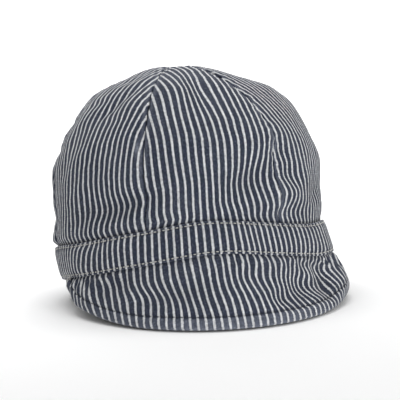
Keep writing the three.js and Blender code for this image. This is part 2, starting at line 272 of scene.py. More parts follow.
def crown_form(angle, distance):
    """The crown before it is folded. Below the band's upper edge the cloth runs down inside it."""
    angle, distance = np.broadcast_arrays(np.asarray(angle, float), np.asarray(distance, float))
    up, radius = crown_profile(distance)
    points = rim_points(UPPER_RIM, angle, BAND_HEIGHT + up, radius / UPPER_RIM.half)
    share = up / CROWN_SECTIONS[-1].up
    points[..., 0] += APEX[0] * share
    points[..., 1] += APEX[1] * share
    points[..., 2] += rim_wave(angle) * np.exp(-up / WAVE_FADE)
    inside = band_points(angle, 1 + distance / BAND_HEIGHT)
    axis = points_of(UPPER_RIM.x, UPPER_RIM.y, inside[..., 2])
    inside = axis + (inside - axis) * CROWN_SECTIONS[0].spread
    return np.where(distance[..., None] < 0, inside, points)


def surface_frame(surface, angle, distance):
    """Outward normals and sideways directions of a surface given by angle and distance."""
    side = surface(angle + NEAR_ANGLE, distance) - surface(angle - NEAR_ANGLE, distance)
    along = surface(angle, distance + NEAR_LENGTH) - surface(angle, distance - NEAR_LENGTH)
    out = np.cross(side, along)
    out /= np.maximum(np.linalg.norm(out, axis=-1, keepdims=True), 1e-9)
    return out, side / np.maximum(np.linalg.norm(side, axis=-1, keepdims=True), 1e-9)


def fold_shift(folds, angle, distance, radius):
    """How far a table of folds moves the cloth, outward and sideways."""
    out = np.zeros(np.broadcast(angle, distance).shape)
    side = np.zeros_like(out)
    for fold in folds:
        across = np.radians(turn_between(angle, fold.at)) * radius
        along = distance - fold.up
        c, s = math.cos(math.radians(fold.turn)), math.sin(math.radians(fold.turn))
        a = (across * c + along * s) / fold.across
        b = (along * c - across * s) / fold.along
        weight = np.exp(-a * a - b * b)
        out += fold.out * weight
        side += fold.side * weight
    return out, side


def crown_points(angle, distance):
    """The crown with its dents and bulges."""
    angle, distance = np.broadcast_arrays(np.asarray(angle, float), np.asarray(distance, float))
    _, radius = crown_profile(distance)
    out, side = fold_shift(CROWN_FOLDS, angle, distance, radius)
    inside = np.clip(distance, NEAR_LENGTH, CROWN_LENGTH - NEAR_LENGTH)
    normal, sideways = surface_frame(crown_form, angle, inside)
    start = smooth(distance / FOLD_START)
    points = crown_form(angle, distance)
    return points + normal * (out * start)[..., None] + sideways * (side * start)[..., None]


def stand(points):
    """From the cap's own frame to the way it stands, tilted back on its rim."""
    c, s = math.cos(math.radians(TILT)), math.sin(math.radians(TILT))
    x, y, z = points[..., 0], points[..., 1], points[..., 2]
    lift = LOWER_RIM.back * s - FLATTENED
    return points_of(x, y * c + z * s, z * c - y * s + lift)


def seam_angle(seam, distance):
    """Angle of a seam, which wanders on its way up."""
    wander = seam.drift * np.exp(-(((distance - seam.up) / seam.spread) ** 2))
    return seam.at + wander + seam.top * smooth((distance - SEAM_TOP) / (CROWN_LENGTH - SEAM_TOP))


def girth_of(angle):
    """Distance round the band from the middle of the front, negative on the -X side."""
    fine = np.linspace(-360, 720, 10801)
    line = band_points(fine, 0.5)
    length = np.concatenate([[0], np.cumsum(np.linalg.norm(np.diff(line, axis=0), axis=1))])
    return np.interp(angle, fine, length) - np.interp(0, fine, length)


def peak_rim(angle, up=-PEAK_DROP):
    """Where the peak's cloth comes out from under the band."""
    return stand(band_points(angle, up / BAND_HEIGHT) + inward(angle) * PEAK_INSET)


def peak_edge(angle):
    """Outer edge of the peak; at the ends it runs up to the band."""
    s = np.sin(np.radians(angle))
    c = np.maximum(0.0, np.cos(np.radians(angle)))
    power = 2 / PEAK_EDGE.roundness
    x = PEAK_EDGE.half * np.sign(s) * np.abs(s) ** power + PEAK_EDGE.x
    y = PEAK_EDGE.back - PEAK_EDGE.front * c**power
    z = np.maximum(0.0, PEAK_SIDE_RISE * np.abs(s) ** PEAK_SIDE_POWER - PEAK_TOUCH)
    to_band = smooth((np.abs(angle) - PEAK_JOIN) / (90 - PEAK_JOIN))[..., None]
    end = peak_rim(angle) + np.array([0, 0, -PEAK_END_DROP])
    return points_of(x, y, z) * (1 - to_band) + end * to_band


def peak_points(angle, down):
    """Upper face of the peak: down is 0 at the band and 1 at the outer edge."""
    angle, down = np.broadcast_arrays(np.asarray(angle, float), np.asarray(down, float))
    rim = peak_rim(angle)
    fall = peak_edge(angle) - rim
    depth = np.linalg.norm(fall, axis=-1)
    side = peak_rim(angle + NEAR_ANGLE) - peak_rim(angle - NEAR_ANGLE)
    side /= np.linalg.norm(side, axis=-1, keepdims=True)
    normal = np.cross(fall, side)
    normal /= np.maximum(np.linalg.norm(normal, axis=-1, keepdims=True), 1e-9)
    normal = np.where(normal[..., 2:3] < 0, -normal, normal)
    middle = 4 * down * (1 - down)
    out, sideways = fold_shift(PEAK_FOLDS, angle, down * PEAK_FOLD_DEPTH, PEAK_FOLD_RADIUS)
    out = out * smooth(middle) + PEAK_BOW * middle * np.minimum(1, depth / PEAK_FULL_DEPTH)
    sideways = sideways * smooth(middle)
    return rim + fall * down[..., None] + normal * out[..., None] + side * sideways[..., None]


# How the stripes lie: shifts from each piece's centre line, and how far its cloth is off the grain
STRIPE_SHIFTS = (2.3, 1.4, 0.0, 0.0, 0.0, 0.0)
STRIPE_LEANS = (-0.05, 0.0, 0.0, 0.0, 0.0, 0.0)
BAND_STRIPE_SHIFT = 2.6
BAND_SKEW = 0.19
BAND_SKEW_TURN = 0.0018
BAND_SKEW_REACH = 90
PEAK_SKEW = -0.01

# Where sewing and wear have drawn the stripes sideways: place and reach on the flat piece, turned how
# far, and how far they are drawn. Gores are measured from their middle line and the band's upper edge,
# the band from its lower edge, and the peak from the middle of the rim.
Drawn = namedtuple("Drawn", "x y wide long turn far")
GORE_DRAWN = (
    (
        Drawn(-34, 4, 14, 4, 0, 1.2),
        Drawn(36, 8, 16, 10, 0, -2.0),
        Drawn(40, 24, 9, 10, 0, -1.6),
        Drawn(20, 34, 12, 8, 0, 0.9),
        Drawn(14, 60, 16, 9, 0, -1.3),
        Drawn(14, 12, 12, 5, 0, -1.0),
        Drawn(-26, 108, 22, 26, 0, 4.2),
        Drawn(-10, 100, 8, 20, 0, 1.5),
        Drawn(2, 98, 5, 16, 0, -2.4),
    ),
    (
        Drawn(-16, 28, 10, 9, 0, 1.8),
        Drawn(-40, 55, 10, 8, 0, -2.4),
    ),
    (),
    (),
    (),
    (
        Drawn(10, 25, 10, 9, 0, 1.2),
        Drawn(46, 40, 18, 34, 0, -4.8),
        Drawn(32, 64, 16, 9, 0, -1.2),
        Drawn(40, 2, 20, 12, 0, -1.6),
        Drawn(-26, 4, 30, 12, 0, -4.4),
        Drawn(16, 4, 20, 10, 0, -1.4),
        Drawn(-16, 21, 9, 9, 0, -1.6),
        Drawn(-12, 66, 12, 8, 0, 1.2),
        Drawn(18, 78, 12, 14, 0, 2.0),
        Drawn(-6, 92, 12, 8, 0, 4.0),
        Drawn(6, 9, 26, 9, 0, -1.4),
        Drawn(-12, 27, 12, 10, 0, -1.6),
        Drawn(-26, 66, 9, 9, 0, -2.0),
        Drawn(-22, 38, 9, 8, 0, -1.6),
    ),
)
BAND_DRAWN = (
    Drawn(46, 11, 20, 60, 0, -5.6),
    Drawn(76, 11, 20, 60, 0, -4.8),
    Drawn(27, 11, 8, 60, 0, -1.6),
    Drawn(72, 0, 26, 7, 0, -4.0),
    Drawn(-112, 6, 16, 12, 0, -5.0),
    Drawn(-86, 19, 9, 5, 0, 1.8),
    Drawn(-98, 21, 14, 4, 0, 2.0),
    Drawn(-64, 12, 12, 8, 0, -0.9),
)
PEAK_DRAWN = (
    Drawn(18, -20, 20, 13, 0, -6.2),
    Drawn(45, -21, 13, 10, 26, -8.6),
    Drawn(42, -22, 11, 13, 20, -4.2),
    Drawn(61, -20, 14, 8, 12, -10.6),
    Drawn(56, -9, 11, 7, 12, -4.6),
    Drawn(58, -6, 17, 6, 12, -6.6),
    Drawn(73, -8, 15, 8, 15, -5.0),
    Drawn(74, 0, 18, 8, 12, -8.6),
    Drawn(116, 12, 42, 30, 0, -15.0),
    Drawn(46, -35, 12, 4, 20, -2.4),
    Drawn(32, -34, 7, 6, 20, -4.0),
    Drawn(28, -35, 7, 5, 0, -1.8),
    Drawn(34, 2, 26, 9, 0, -3.6),
    Drawn(-54, -19, 26, 8, -27, 3.6),
    Drawn(-44, -34, 34, 8, -20, 1.8),
    Drawn(-104, 12, 14, 30, 0, -4.0),
    Drawn(-86, 17, 14, 5, -25, -2.4),
)


def gore_shift(index, distance):
    """How far a gore's stripes lie to one side of their place from its centre line."""
    return STRIPE_SHIFTS[index] + STRIPE_LEANS[index] * distance


def drawn(table, x, y):
    """How far a table draws the stripes sideways at a place of the flat piece."""
    total = np.zeros(np.broadcast(x, y).shape)
    for spot in table:
        c, s = math.cos(math.radians(spot.turn)), math.sin(math.radians(spot.turn))
        a = ((x - spot.x) * c + (y - spot.y) * s) / spot.wide
        b = ((y - spot.y) * c - (x - spot.x) * s) / spot.long
        total = total + spot.far * np.exp(-a * a - b * b)
    return total


def band_skew(height, girth):
    """How far a stripe of the band has moved over at a height over its lower edge."""
    lean = BAND_SKEW_TURN * np.clip(girth, -BAND_SKEW_REACH, BAND_SKEW_REACH) - BAND_SKEW
    return lean * (height - BAND_HEIGHT / 2)


def peak_across(flat):
    """Place across the stripes of points of the peak's flat pattern."""
    moved = PEAK_SKEW * flat[..., 1] + drawn(PEAK_DRAWN, flat[..., 0], flat[..., 1])
    return flat[..., 0] - moved


def peak_pattern(angles):
    """The peak's rim and edge laid flat. The strips between its cuts are unrolled one after another
    from the middle of the front."""
    rim = peak_rim(angles)
    edge = peak_edge(angles)
    middle = len(angles) // 2
    flat_rim = np.zeros((len(angles), 2))
    flat_edge = np.zeros((len(angles), 2))
    flat_edge[middle] = [0.0, -np.linalg.norm(edge[middle] - rim[middle])]

    def third_corner(a, b, from_a, from_b, hand):
        """Point at two distances from a and b, on one side of the line between them."""
        base = np.linalg.norm(b - a)
        way = (b - a) / base
        along = (from_a**2 - from_b**2 + base**2) / (2 * base)
        off = math.sqrt(max(from_a**2 - along**2, 0.0))
        return a + way * along + np.array([-way[1], way[0]]) * off * hand

    for hand in (1, -1):
        i = middle
        while 0 <= i + hand < len(angles):
            k = i + hand
            from_rim = np.linalg.norm(edge[k] - rim[i])
            from_edge = np.linalg.norm(edge[k] - edge[i])
            flat_edge[k] = third_corner(flat_rim[i], flat_edge[i], from_rim, from_edge, hand)
            from_rim = np.linalg.norm(rim[k] - rim[i])
            from_edge = np.linalg.norm(rim[k] - edge[k])
            flat_rim[k] = third_corner(flat_rim[i], flat_edge[k], from_rim, from_edge, hand)
            i = k
    return flat_rim, flat_edge


# Where the cap stands in the frame: its band lies over the frame's band.
def place_of_cap():
    """How far the standing cap moves, level, to lie over the frame."""
    angle = np.linspace(0, 360, 721)[:, None]
    band = stand(band_points(angle, np.array([[0.0, 0.5, 1.0]]))).reshape(-1, 3)
    own = (band.min(axis=0) + band.max(axis=0)) / 2
    low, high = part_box("band")
    middle = np.array((low + high) / 2) / MM
    return np.array([middle[0] - own[0], middle[1] - own[1], 0.0])


PLACE = place_of_cap()


# Work on grids of points, with rows up or down the cloth and columns round the cap
def grid_lengths(points, axis):
    """Distance over the cloth to each point of a grid from the first, along one axis."""
    steps = np.linalg.norm(np.diff(points, axis=axis), axis=-1)
    start = np.zeros_like(np.take(steps, [0], axis=axis))
    return np.concatenate([start, np.cumsum(steps, axis=axis)], axis=axis)


def grid_normals(points, is_ring=False):
    """Unit normals of a grid."""
    if is_ring:
        across = np.roll(points, -1, axis=1) - np.roll(points, 1, axis=1)
    else:
        across = np.gradient(points, axis=1)
    along = np.gradient(points, axis=0)
    normal = np.cross(across, along)
    return normal / np.maximum(np.linalg.norm(normal, axis=-1, keepdims=True), 1e-9)


# Crumples of washed cotton: how high and about how long each kind of wave is
Crumple = namedtuple("Crumple", "rise length")
CRUMPLES = (Crumple(0.42, 34), Crumple(0.18, 13), Crumple(0.06, 6))
CRUMPLE_WAVES = 14
CRUMPLE_LENGTHS = (0.75, 1.35)


def crumple(points, length, seed):
    """Smooth random waves through space of about one length, mostly between -1 and 1."""
    rng = np.random.default_rng(seed)
    ways = rng.normal(size=(CRUMPLE_WAVES, 3))
    ways /= np.linalg.norm(ways, axis=1, keepdims=True)
    waves = ways * (2 * math.pi / (length * rng.uniform(*CRUMPLE_LENGTHS, size=(CRUMPLE_WAVES, 1))))
    phases = rng.uniform(0, 2 * math.pi, size=CRUMPLE_WAVES)
    total = np.zeros(points.shape[:-1])
    for wave, phase in zip(waves, phases):
        total += np.sin(points @ wave + phase)
    return total / math.sqrt(CRUMPLE_WAVES)


def cloth_relief(points, seed):
    """Small crumples of the cloth, in millimetres."""
    return sum(kind.rise * crumple(points, kind.length, seed + i) for i, kind in enumerate(CRUMPLES))


def bell(value, width):
    """Falls from 1 to 0 on both sides of 0."""
    return np.exp(-((value / width) ** 2))


# A mark along a line, used for fading and for painted shade: how strong, how far from the line and how wide
Mark = namedtuple("Mark", "amount at width")


def marked(mark, distance):
    """How strong a mark is at a distance from its line."""
    return mark.amount * bell(distance - mark.at, mark.width)


def rounding(distance, radius):
    """How far a rounded edge falls away at a distance from it."""
    near = np.clip(radius - distance, 0, radius)
    return radius - np.sqrt(np.maximum(radius**2 - near**2, 0))


# Meshes
def new_piece(name, points, faces):
    """An object from points in millimetres as the cap stands, with none below the table."""
    placed = points.reshape(-1, 3) + PLACE
    placed[:, 2] = np.maximum(placed[:, 2], 0.0)
    mesh = bpy.data.meshes.new(name)
    mesh.from_pydata((placed * MM).tolist(), [], faces)
    mesh.update()
    mesh.shade_smooth()
    piece = bpy.data.objects.new(name, mesh)
    bpy.context.scene.collection.objects.link(piece)
    return piece


def lay_cloth(piece, corner_places, wear_and_shade):
    """Keeps the flat cloth's coordinates as a UV map, in metres, and the wear and painted shade as an
    attribute.
    It is above 0 where the cloth has faded and below 0 where shade is painted into it."""
    mesh = piece.data
    layer = mesh.uv_layers.new(name="cloth")
    layer.data.foreach_set("uv", (corner_places * MM).astype(np.float32).ravel())
    attribute = mesh.attributes.new("wear_and_shade", "FLOAT", "POINT")
    attribute.data.foreach_set("value", wear_and_shade.astype(np.float32).ravel())


def corners_of(mesh):
    """The vertex at each face corner."""
    corner = np.zeros(len(mesh.loops), dtype=np.int32)
    mesh.loops.foreach_get("vertex_index", corner)
    return corner


def quads_between(a, b, c, d):
    """Four arrays of vertex numbers as a list of faces."""
    return np.stack(np.broadcast_arrays(a, b, c, d), axis=-1).reshape(-1, 4).tolist()


def gore_faces(rows, columns):
    """Faces of a closed shell: an outer grid and its tip, then an inner grid and its tip."""
    inner = rows * columns + 1
    r = np.arange(rows - 1)[:, None]
    c = np.arange(columns - 1)[None, :]
    a = r * columns + c
    faces = quads_between(a, a + 1, a + 1 + columns, a + columns)
    faces += quads_between(a + columns + inner, a + 1 + columns + inner, a + 1 + inner, a + inner)
    low = np.arange(columns - 1)
    faces += quads_between(low + inner, low + 1 + inner, low + 1, low)
    left = np.arange(rows - 1) * columns
    faces += quads_between(left + inner, left, left + columns, left + columns + inner)
    right = left + columns - 1
    faces += quads_between(right, right + inner, right + columns + inner, right + columns)
    top = (rows - 1) * columns
    tip = rows * columns
    for i in range(top, tip - 1):
        faces.append([i, i + 1, tip])
        faces.append([i + 1 + inner, i + inner, tip + inner])
    faces.append([top + inner, top, tip, tip + inner])
    faces.append([tip - 1, tip - 1 + inner, tip + inner, tip])
    return faces


# The crown's gores. Their rows lie closer near the band, and their columns near the seams.
GORE_COLUMNS = 96
GORE_ROWS_BELOW = 5
GORE_ROWS_ABOVE = 180
GORE_EVEN_ROWS = 0.6
GORE_CROWDING = 0.75
GORE_SEED = 11
GORE_SEED_STEP = 7
GORE_SHARP = 50
GORE_TIP = 0.4
GORE_TIP_LENGTH = 1.5
GORE_NARROW = 12.0
SEAM_GAP = 0.08
SEAM_ROLL = 0.9
SEAM_ROLL_SHARE = 6
SEAM_VALLEY = 0.45
SEAM_VALLEY_WIDTH = 3.4
SEAM_PUCKER = 0.26
SEAM_PUCKER_LENGTH = 7.0
SEAM_PUCKER_WIDTH = 6.0
SEAM_PUCKER_SWAY = 1.4
SEAM_PUCKER_SWAY_LENGTH = 11
PIECE_STEP = 240.0

# Fading beside the seams; painted shade in the seams, along the join with the band and in hollows
SEAM_FADE = Mark(0.3, 1.6, 1.2)
SEAM_PAINTED_SHADE = Mark(0.25, 0, 0.6)
JOIN_PAINTED_SHADOW = Mark(0.5, 0.4, 1.1)
FOLD_PAINTED_SHADE = 0.07
FOLD_PAINTED_SHADE_DEPTH = 3

Patch = namedtuple("Patch", "at up across along amount")
WORN_PATCHES = (
    Patch(-29.6, 54, 1.8, 6, 0.8),
    Patch(32.5, 48, 2.0, 14, 0.35),
    Patch(-10.0, 118, 30, 12, 0.12),
)


def worn(angle, distance, radius):
    """How faded the crown is in patches."""
    total = np.zeros(np.broadcast(angle, distance).shape)
    for patch in WORN_PATCHES:
        across = np.radians(turn_between(angle, patch.at)) * radius
        total += patch.amount * bell(across, patch.across) * bell(distance - patch.up, patch.along)
    return total


def fold_painted_shade(folds, angle, distance, radius):
    """How much painted shade darkens the hollows of a table of folds."""
    out, _ = fold_shift(folds, angle, distance, radius)
    return FOLD_PAINTED_SHADE * np.clip(-out, 0, FOLD_PAINTED_SHADE_DEPTH)


def make_gore(index):
    """One gore of the crown, from one seam to the next, its edges rolled into the seams."""
    start_seam = SEAMS[index]
    end_seam = SEAMS[(index + 1) % len(SEAMS)]
    full_turn = 360.0 if end_seam.at < start_seam.at else 0.0
    below = np.linspace(-CROWN_TUCK, 0, GORE_ROWS_BELOW, endpoint=False)
    share_up = np.linspace(0, 1, GORE_ROWS_ABOVE)
    above = GORE_EVEN_ROWS * share_up + (1 - GORE_EVEN_ROWS) * share_up**2
    above = above * (CROWN_LENGTH - GORE_TIP_LENGTH)
    distance = np.concatenate([below, above])[:, None]
    share = np.linspace(0, 1, GORE_COLUMNS + 1)[None, :]
    share = share - GORE_CROWDING * np.sin(2 * math.pi * share) / (2 * math.pi)
    radius = np.where(distance < 0, UPPER_RIM.half, crown_profile(distance)[1])
    gap = np.degrees(SEAM_GAP / 2 / radius)
    low = seam_angle(start_seam, distance) + gap
    high = seam_angle(end_seam, distance) + full_turn - gap
    angle = low + (high - low) * share

    form = crown_form(angle, distance)
    across = grid_lengths(form, axis=1)
    width = across[:, -1:]
    to_seam = np.minimum(across, width - across)
    seed = GORE_SEED + GORE_SEED_STEP * index
    rng = np.random.default_rng(seed)
    swing = rng.uniform(0, 2 * math.pi, size=2)
    sway = SEAM_PUCKER_SWAY * np.sin(distance / SEAM_PUCKER_SWAY_LENGTH + swing[0])
    pucker = 2 * math.pi * distance / SEAM_PUCKER_LENGTH + sway
    relief = cloth_relief(form, seed)
    relief = relief + SEAM_PUCKER * np.sin(pucker + swing[1]) * bell(to_seam, SEAM_PUCKER_WIDTH)
    relief = relief - SEAM_VALLEY * bell(to_seam, SEAM_VALLEY_WIDTH)
    relief = relief * smooth(distance / FOLD_START) * smooth(width / GORE_NARROW)
    surface = crown_points(angle, distance)
    surface = surface + grid_normals(surface) * relief[..., None]
    normal = grid_normals(surface)
    drop = rounding(to_seam, np.minimum(SEAM_ROLL, width / SEAM_ROLL_SHARE))
    outer = stand(surface - normal * drop[..., None])
    inner = stand(surface - normal * CROWN_CLOTH)
    middle = np.radians((low[-1, 0] + high[-1, 0]) / 2)
    lean = np.array([math.sin(middle), -math.cos(middle), 0.0]) * GORE_TIP
    top = crown_form(0.0, CROWN_LENGTH) + lean
    tip = stand(top)[None]
    tip_inside = stand(top - np.array([0, 0, CROWN_CLOTH]))[None]

    rows, columns = angle.shape
    points = np.concatenate([outer.reshape(-1, 3), tip, inner.reshape(-1, 3), tip_inside])
    piece = new_piece(f"gore_{GORE_NAMES[index]}", points, gore_faces(rows, columns))
    beside = across - width / 2
    places = beside - gore_shift(index, distance) - drawn(GORE_DRAWN[index], beside, distance)
    flat = np.stack([places, np.broadcast_to(distance, across.shape)], axis=-1)
    flat = np.concatenate([flat.reshape(-1, 2), flat[-1].mean(axis=0)[None]])
    flat = flat + np.array([0.0, PIECE_STEP * index])
    wear_and_shade = marked(SEAM_FADE, to_seam) + worn(angle, distance, radius)
    # Painted shade: darker in the seams, in a shadow line along the join with the band, and in the folds'
    # hollows
    wear_and_shade = wear_and_shade - marked(SEAM_PAINTED_SHADE, to_seam) - marked(JOIN_PAINTED_SHADOW, distance)
    wear_and_shade = wear_and_shade - fold_painted_shade(CROWN_FOLDS, angle, distance, radius)
    wear_and_shade = np.concatenate([wear_and_shade.ravel(), wear_and_shade[-1, :1]])
    corner = corners_of(piece.data)
    lay_cloth(piece, np.concatenate([flat, flat])[corner], np.concatenate([wear_and_shade, wear_and_shade]))
    piece.data.set_sharp_from_angle(angle=math.radians(GORE_SHARP))
    return piece


# The band
BAND_COLUMNS = 720
BAND_ROWS = 40
BAND_PILLOW = 0.5
BAND_PILLOW_WIDTH = 6
BAND_ROUND = 0.9
BAND_CRUMPLE = 0.5
BAND_SEED = 5
STITCH_INSET = 1.65
DITCH_DEPTH = 0.5
DITCH_WIDTH = 0.8
BAND_PUCKER = 0.2
BAND_PUCKER_LENGTH = 5.4
BAND_PUCKER_SWAY = 2.2
BAND_PUCKER_SWAY_LENGTH = 9
BAND_PUCKER_OFFSET = 2.0
BAND_PUCKER_AT = 1.2
BAND_PUCKER_WIDTH = 2.6
BAND_EDGE_FADE = Mark(0.35, 0, 0.7)
# Painted shade in the stitched ditches
BAND_DITCH_PAINTED_SHADE = Mark(0.45, STITCH_INSET, 0.75)


def band_relief(part, girth):
    """Pillow, stitched ditches and puckers of the band's outer face, in millimetres."""
    height = part * BAND_HEIGHT
    edge = np.minimum(height, BAND_HEIGHT - height)
    pillow = BAND_PILLOW * smooth(edge / BAND_PILLOW_WIDTH)
    ditch = DITCH_DEPTH * bell(edge - STITCH_INSET, DITCH_WIDTH)
    sway = BAND_PUCKER_SWAY * np.sin(girth / BAND_PUCKER_SWAY_LENGTH)
    pucker = 2 * math.pi * girth / BAND_PUCKER_LENGTH + sway + np.where(part > 0.5, BAND_PUCKER_OFFSET, 0.0)
    pucker = np.sin(pucker) * bell(edge - BAND_PUCKER_AT, BAND_PUCKER_WIDTH)
    return pillow - ditch + BAND_PUCKER * pucker


def band_surface(angle, part):
    """Outer face of the band with its relief and folds, and its level inward directions."""
    angle, part = np.broadcast_arrays(np.asarray(angle, float), np.asarray(part, float))
    surface = band_points(angle, part)
    way = inward(angle)
    sideways = np.stack([way[..., 1], -way[..., 0], way[..., 2]], axis=-1)
    out, side = fold_shift(BAND_FOLDS, angle, part * BAND_HEIGHT, LOWER_RIM.half)
    relief = band_relief(part, girth_of(angle))
    crumples = BAND_CRUMPLE * cloth_relief(surface, BAND_SEED)
    relief = relief + crumples * np.sin(math.pi * np.clip(part, 0, 1))
    moved = surface - way * (relief + out)[..., None] + sideways * side[..., None]
    return moved, way, out


def make_band():
    """The band: doubled cloth with rounded edges. Its stripes meet at a join at the back."""
    angle = 180 + np.linspace(0, 360, BAND_COLUMNS, endpoint=False)[None, :]
    steps = np.linspace(0, 1, BAND_ROWS)[:, None]
    outer, way, out = band_surface(angle, steps)
    inner = band_points(angle, steps) + way * (BAND_CLOTH - out)[..., None]
    edge = np.minimum(steps, 1 - steps) * BAND_HEIGHT
    drop = rounding(edge, BAND_ROUND)
    outer = outer + way * drop[..., None]
    inner = inner - way * drop[..., None]
    ring = stand(np.concatenate([outer, inner[::-1]]))
    heights = np.concatenate([steps, steps[::-1]])[:, 0] * BAND_HEIGHT
    rows = len(heights)
    row = np.arange(rows)[:, None]
    column = np.arange(BAND_COLUMNS)[None, :]
    after = (column + 1) % BAND_COLUMNS
    over = (row + 1) % rows
    here = row * BAND_COLUMNS
    there = over * BAND_COLUMNS
    faces = quads_between(here + column, here + after, there + after, there + column)
    piece = new_piece("sewn_band", ring, faces)

    stops = girth_of(180 + np.linspace(0, 360, BAND_COLUMNS + 1) - 360)
    left, right = (np.broadcast_to(stops[at], (rows, BAND_COLUMNS)) for at in (column, column + 1))
    low, high = (np.broadcast_to(heights[at], (rows, BAND_COLUMNS)) for at in (row, over))
    along = np.stack([left, right, right, left], axis=-1)
    up = np.stack([low, low, high, high], axis=-1)
    moved = BAND_STRIPE_SHIFT + band_skew(up, along) - drawn(BAND_DRAWN, along, up)
    places = np.stack([along + moved, up - PIECE_STEP], axis=-1)
    to_edge = np.minimum(heights, BAND_HEIGHT - heights)
    # Faded edges, and painted shade in the stitched ditches
    wear_and_shade = marked(BAND_EDGE_FADE, to_edge) - marked(BAND_DITCH_PAINTED_SHADE, to_edge)
    lay_cloth(piece, places.reshape(-1, 2), np.repeat(wear_and_shade, BAND_COLUMNS))
    return piece


# The peak. Toward its ends it gets thinner and calmer as it gets shallower.
PEAK_COLUMNS = 340
PEAK_ROWS = 52
PEAK_TUCKS = (PEAK_TUCK, PEAK_TUCK / 2, 0.5)
PEAK_THICK = 1.25
PEAK_THICK_SHARE = 4
PEAK_NARROW = 12
PEAK_CALM_EDGE = 6
PEAK_CALM_RIM = 4
PEAK_SEED = 41
PEAK_SHARP = 60
PEAK_TURN_ROWS = 7
PEAK_LINE = 0.05
PEAK_LIFT_WIDTH = 8.0
PEAK_STITCH_INSET = 8.5
PEAK_DITCH = 0.5
PEAK_DITCH_WIDTH = 1.0
PEAK_DITCH_START = 4
GATHER_RISE = 0.5
GATHER_LENGTH = 9.0
GATHER_SWAY = 2.6
GATHER_SWAY_LENGTH = 17
GATHER_AT = 4
GATHER_REACH = 9.0
GATHER_START = 3

# Its worn outer strip is palest in the middle of the front
STRIP_FADE = 0.4
STRIP_FADE_LEAST = 0.25
STRIP_FADE_SPREAD = 42
STRIP_FADE_EDGE = 2
PEAK_EDGE_FADE = Mark(0.4, 0, 1.2)
# Painted shade in the ditch of the stitch row
PEAK_DITCH_PAINTED_SHADE = Mark(0.45, PEAK_STITCH_INSET, 0.8)


def peak_fall(angle):
    """How far it is from the band to the peak's outer edge."""
    return np.linalg.norm(peak_edge(angle) - peak_rim(angle), axis=-1)


def peak_thickness(fall):
    """Thickness of each of the peak's cloths."""
    return np.minimum(PEAK_THICK, fall / PEAK_THICK_SHARE)


def peak_middle(angle, down):
    """Surface between the peak's two cloths and its normals. Rows run down from the band."""
    surface = peak_points(angle, down)
    tuck = np.stack([peak_rim(angle[0], up) for up in PEAK_TUCKS])
    whole = np.concatenate([tuck, surface])
    fall = peak_fall(angle[0])[None, :]
    to_edge = np.concatenate([np.repeat(fall, len(PEAK_TUCKS), axis=0), (1 - down) * fall])
    to_rim = np.concatenate([np.zeros((len(PEAK_TUCKS), down.shape[1])), down * fall])
    relief = cloth_relief(whole, PEAK_SEED)
    relief = relief * smooth(to_edge / PEAK_CALM_EDGE) * smooth(to_rim / PEAK_CALM_RIM)
    girth = girth_of(angle[0])[None, :]
    sway = GATHER_SWAY * np.sin(girth / GATHER_SWAY_LENGTH)
    gather = GATHER_RISE * np.sin(2 * math.pi * girth / GATHER_LENGTH + sway)
    relief = relief + gather * bell(to_rim - GATHER_AT, GATHER_REACH) * smooth(to_rim / GATHER_START)
    relief = relief * smooth(fall / PEAK_NARROW)
    normal = -grid_normals(whole)
    whole = whole + normal * relief[..., None]
    thick = peak_thickness(fall)
    lift = bell(to_edge, PEAK_LIFT_WIDTH)[..., None]
    sink = normal * -thick[..., None] * (1 - lift) + np.array([0, 0, 1.0]) * thick[..., None] * lift
    middle = whole + sink
    middle[..., 2] = np.maximum(middle[..., 2], thick)
    return middle, -grid_normals(middle), to_edge, thick


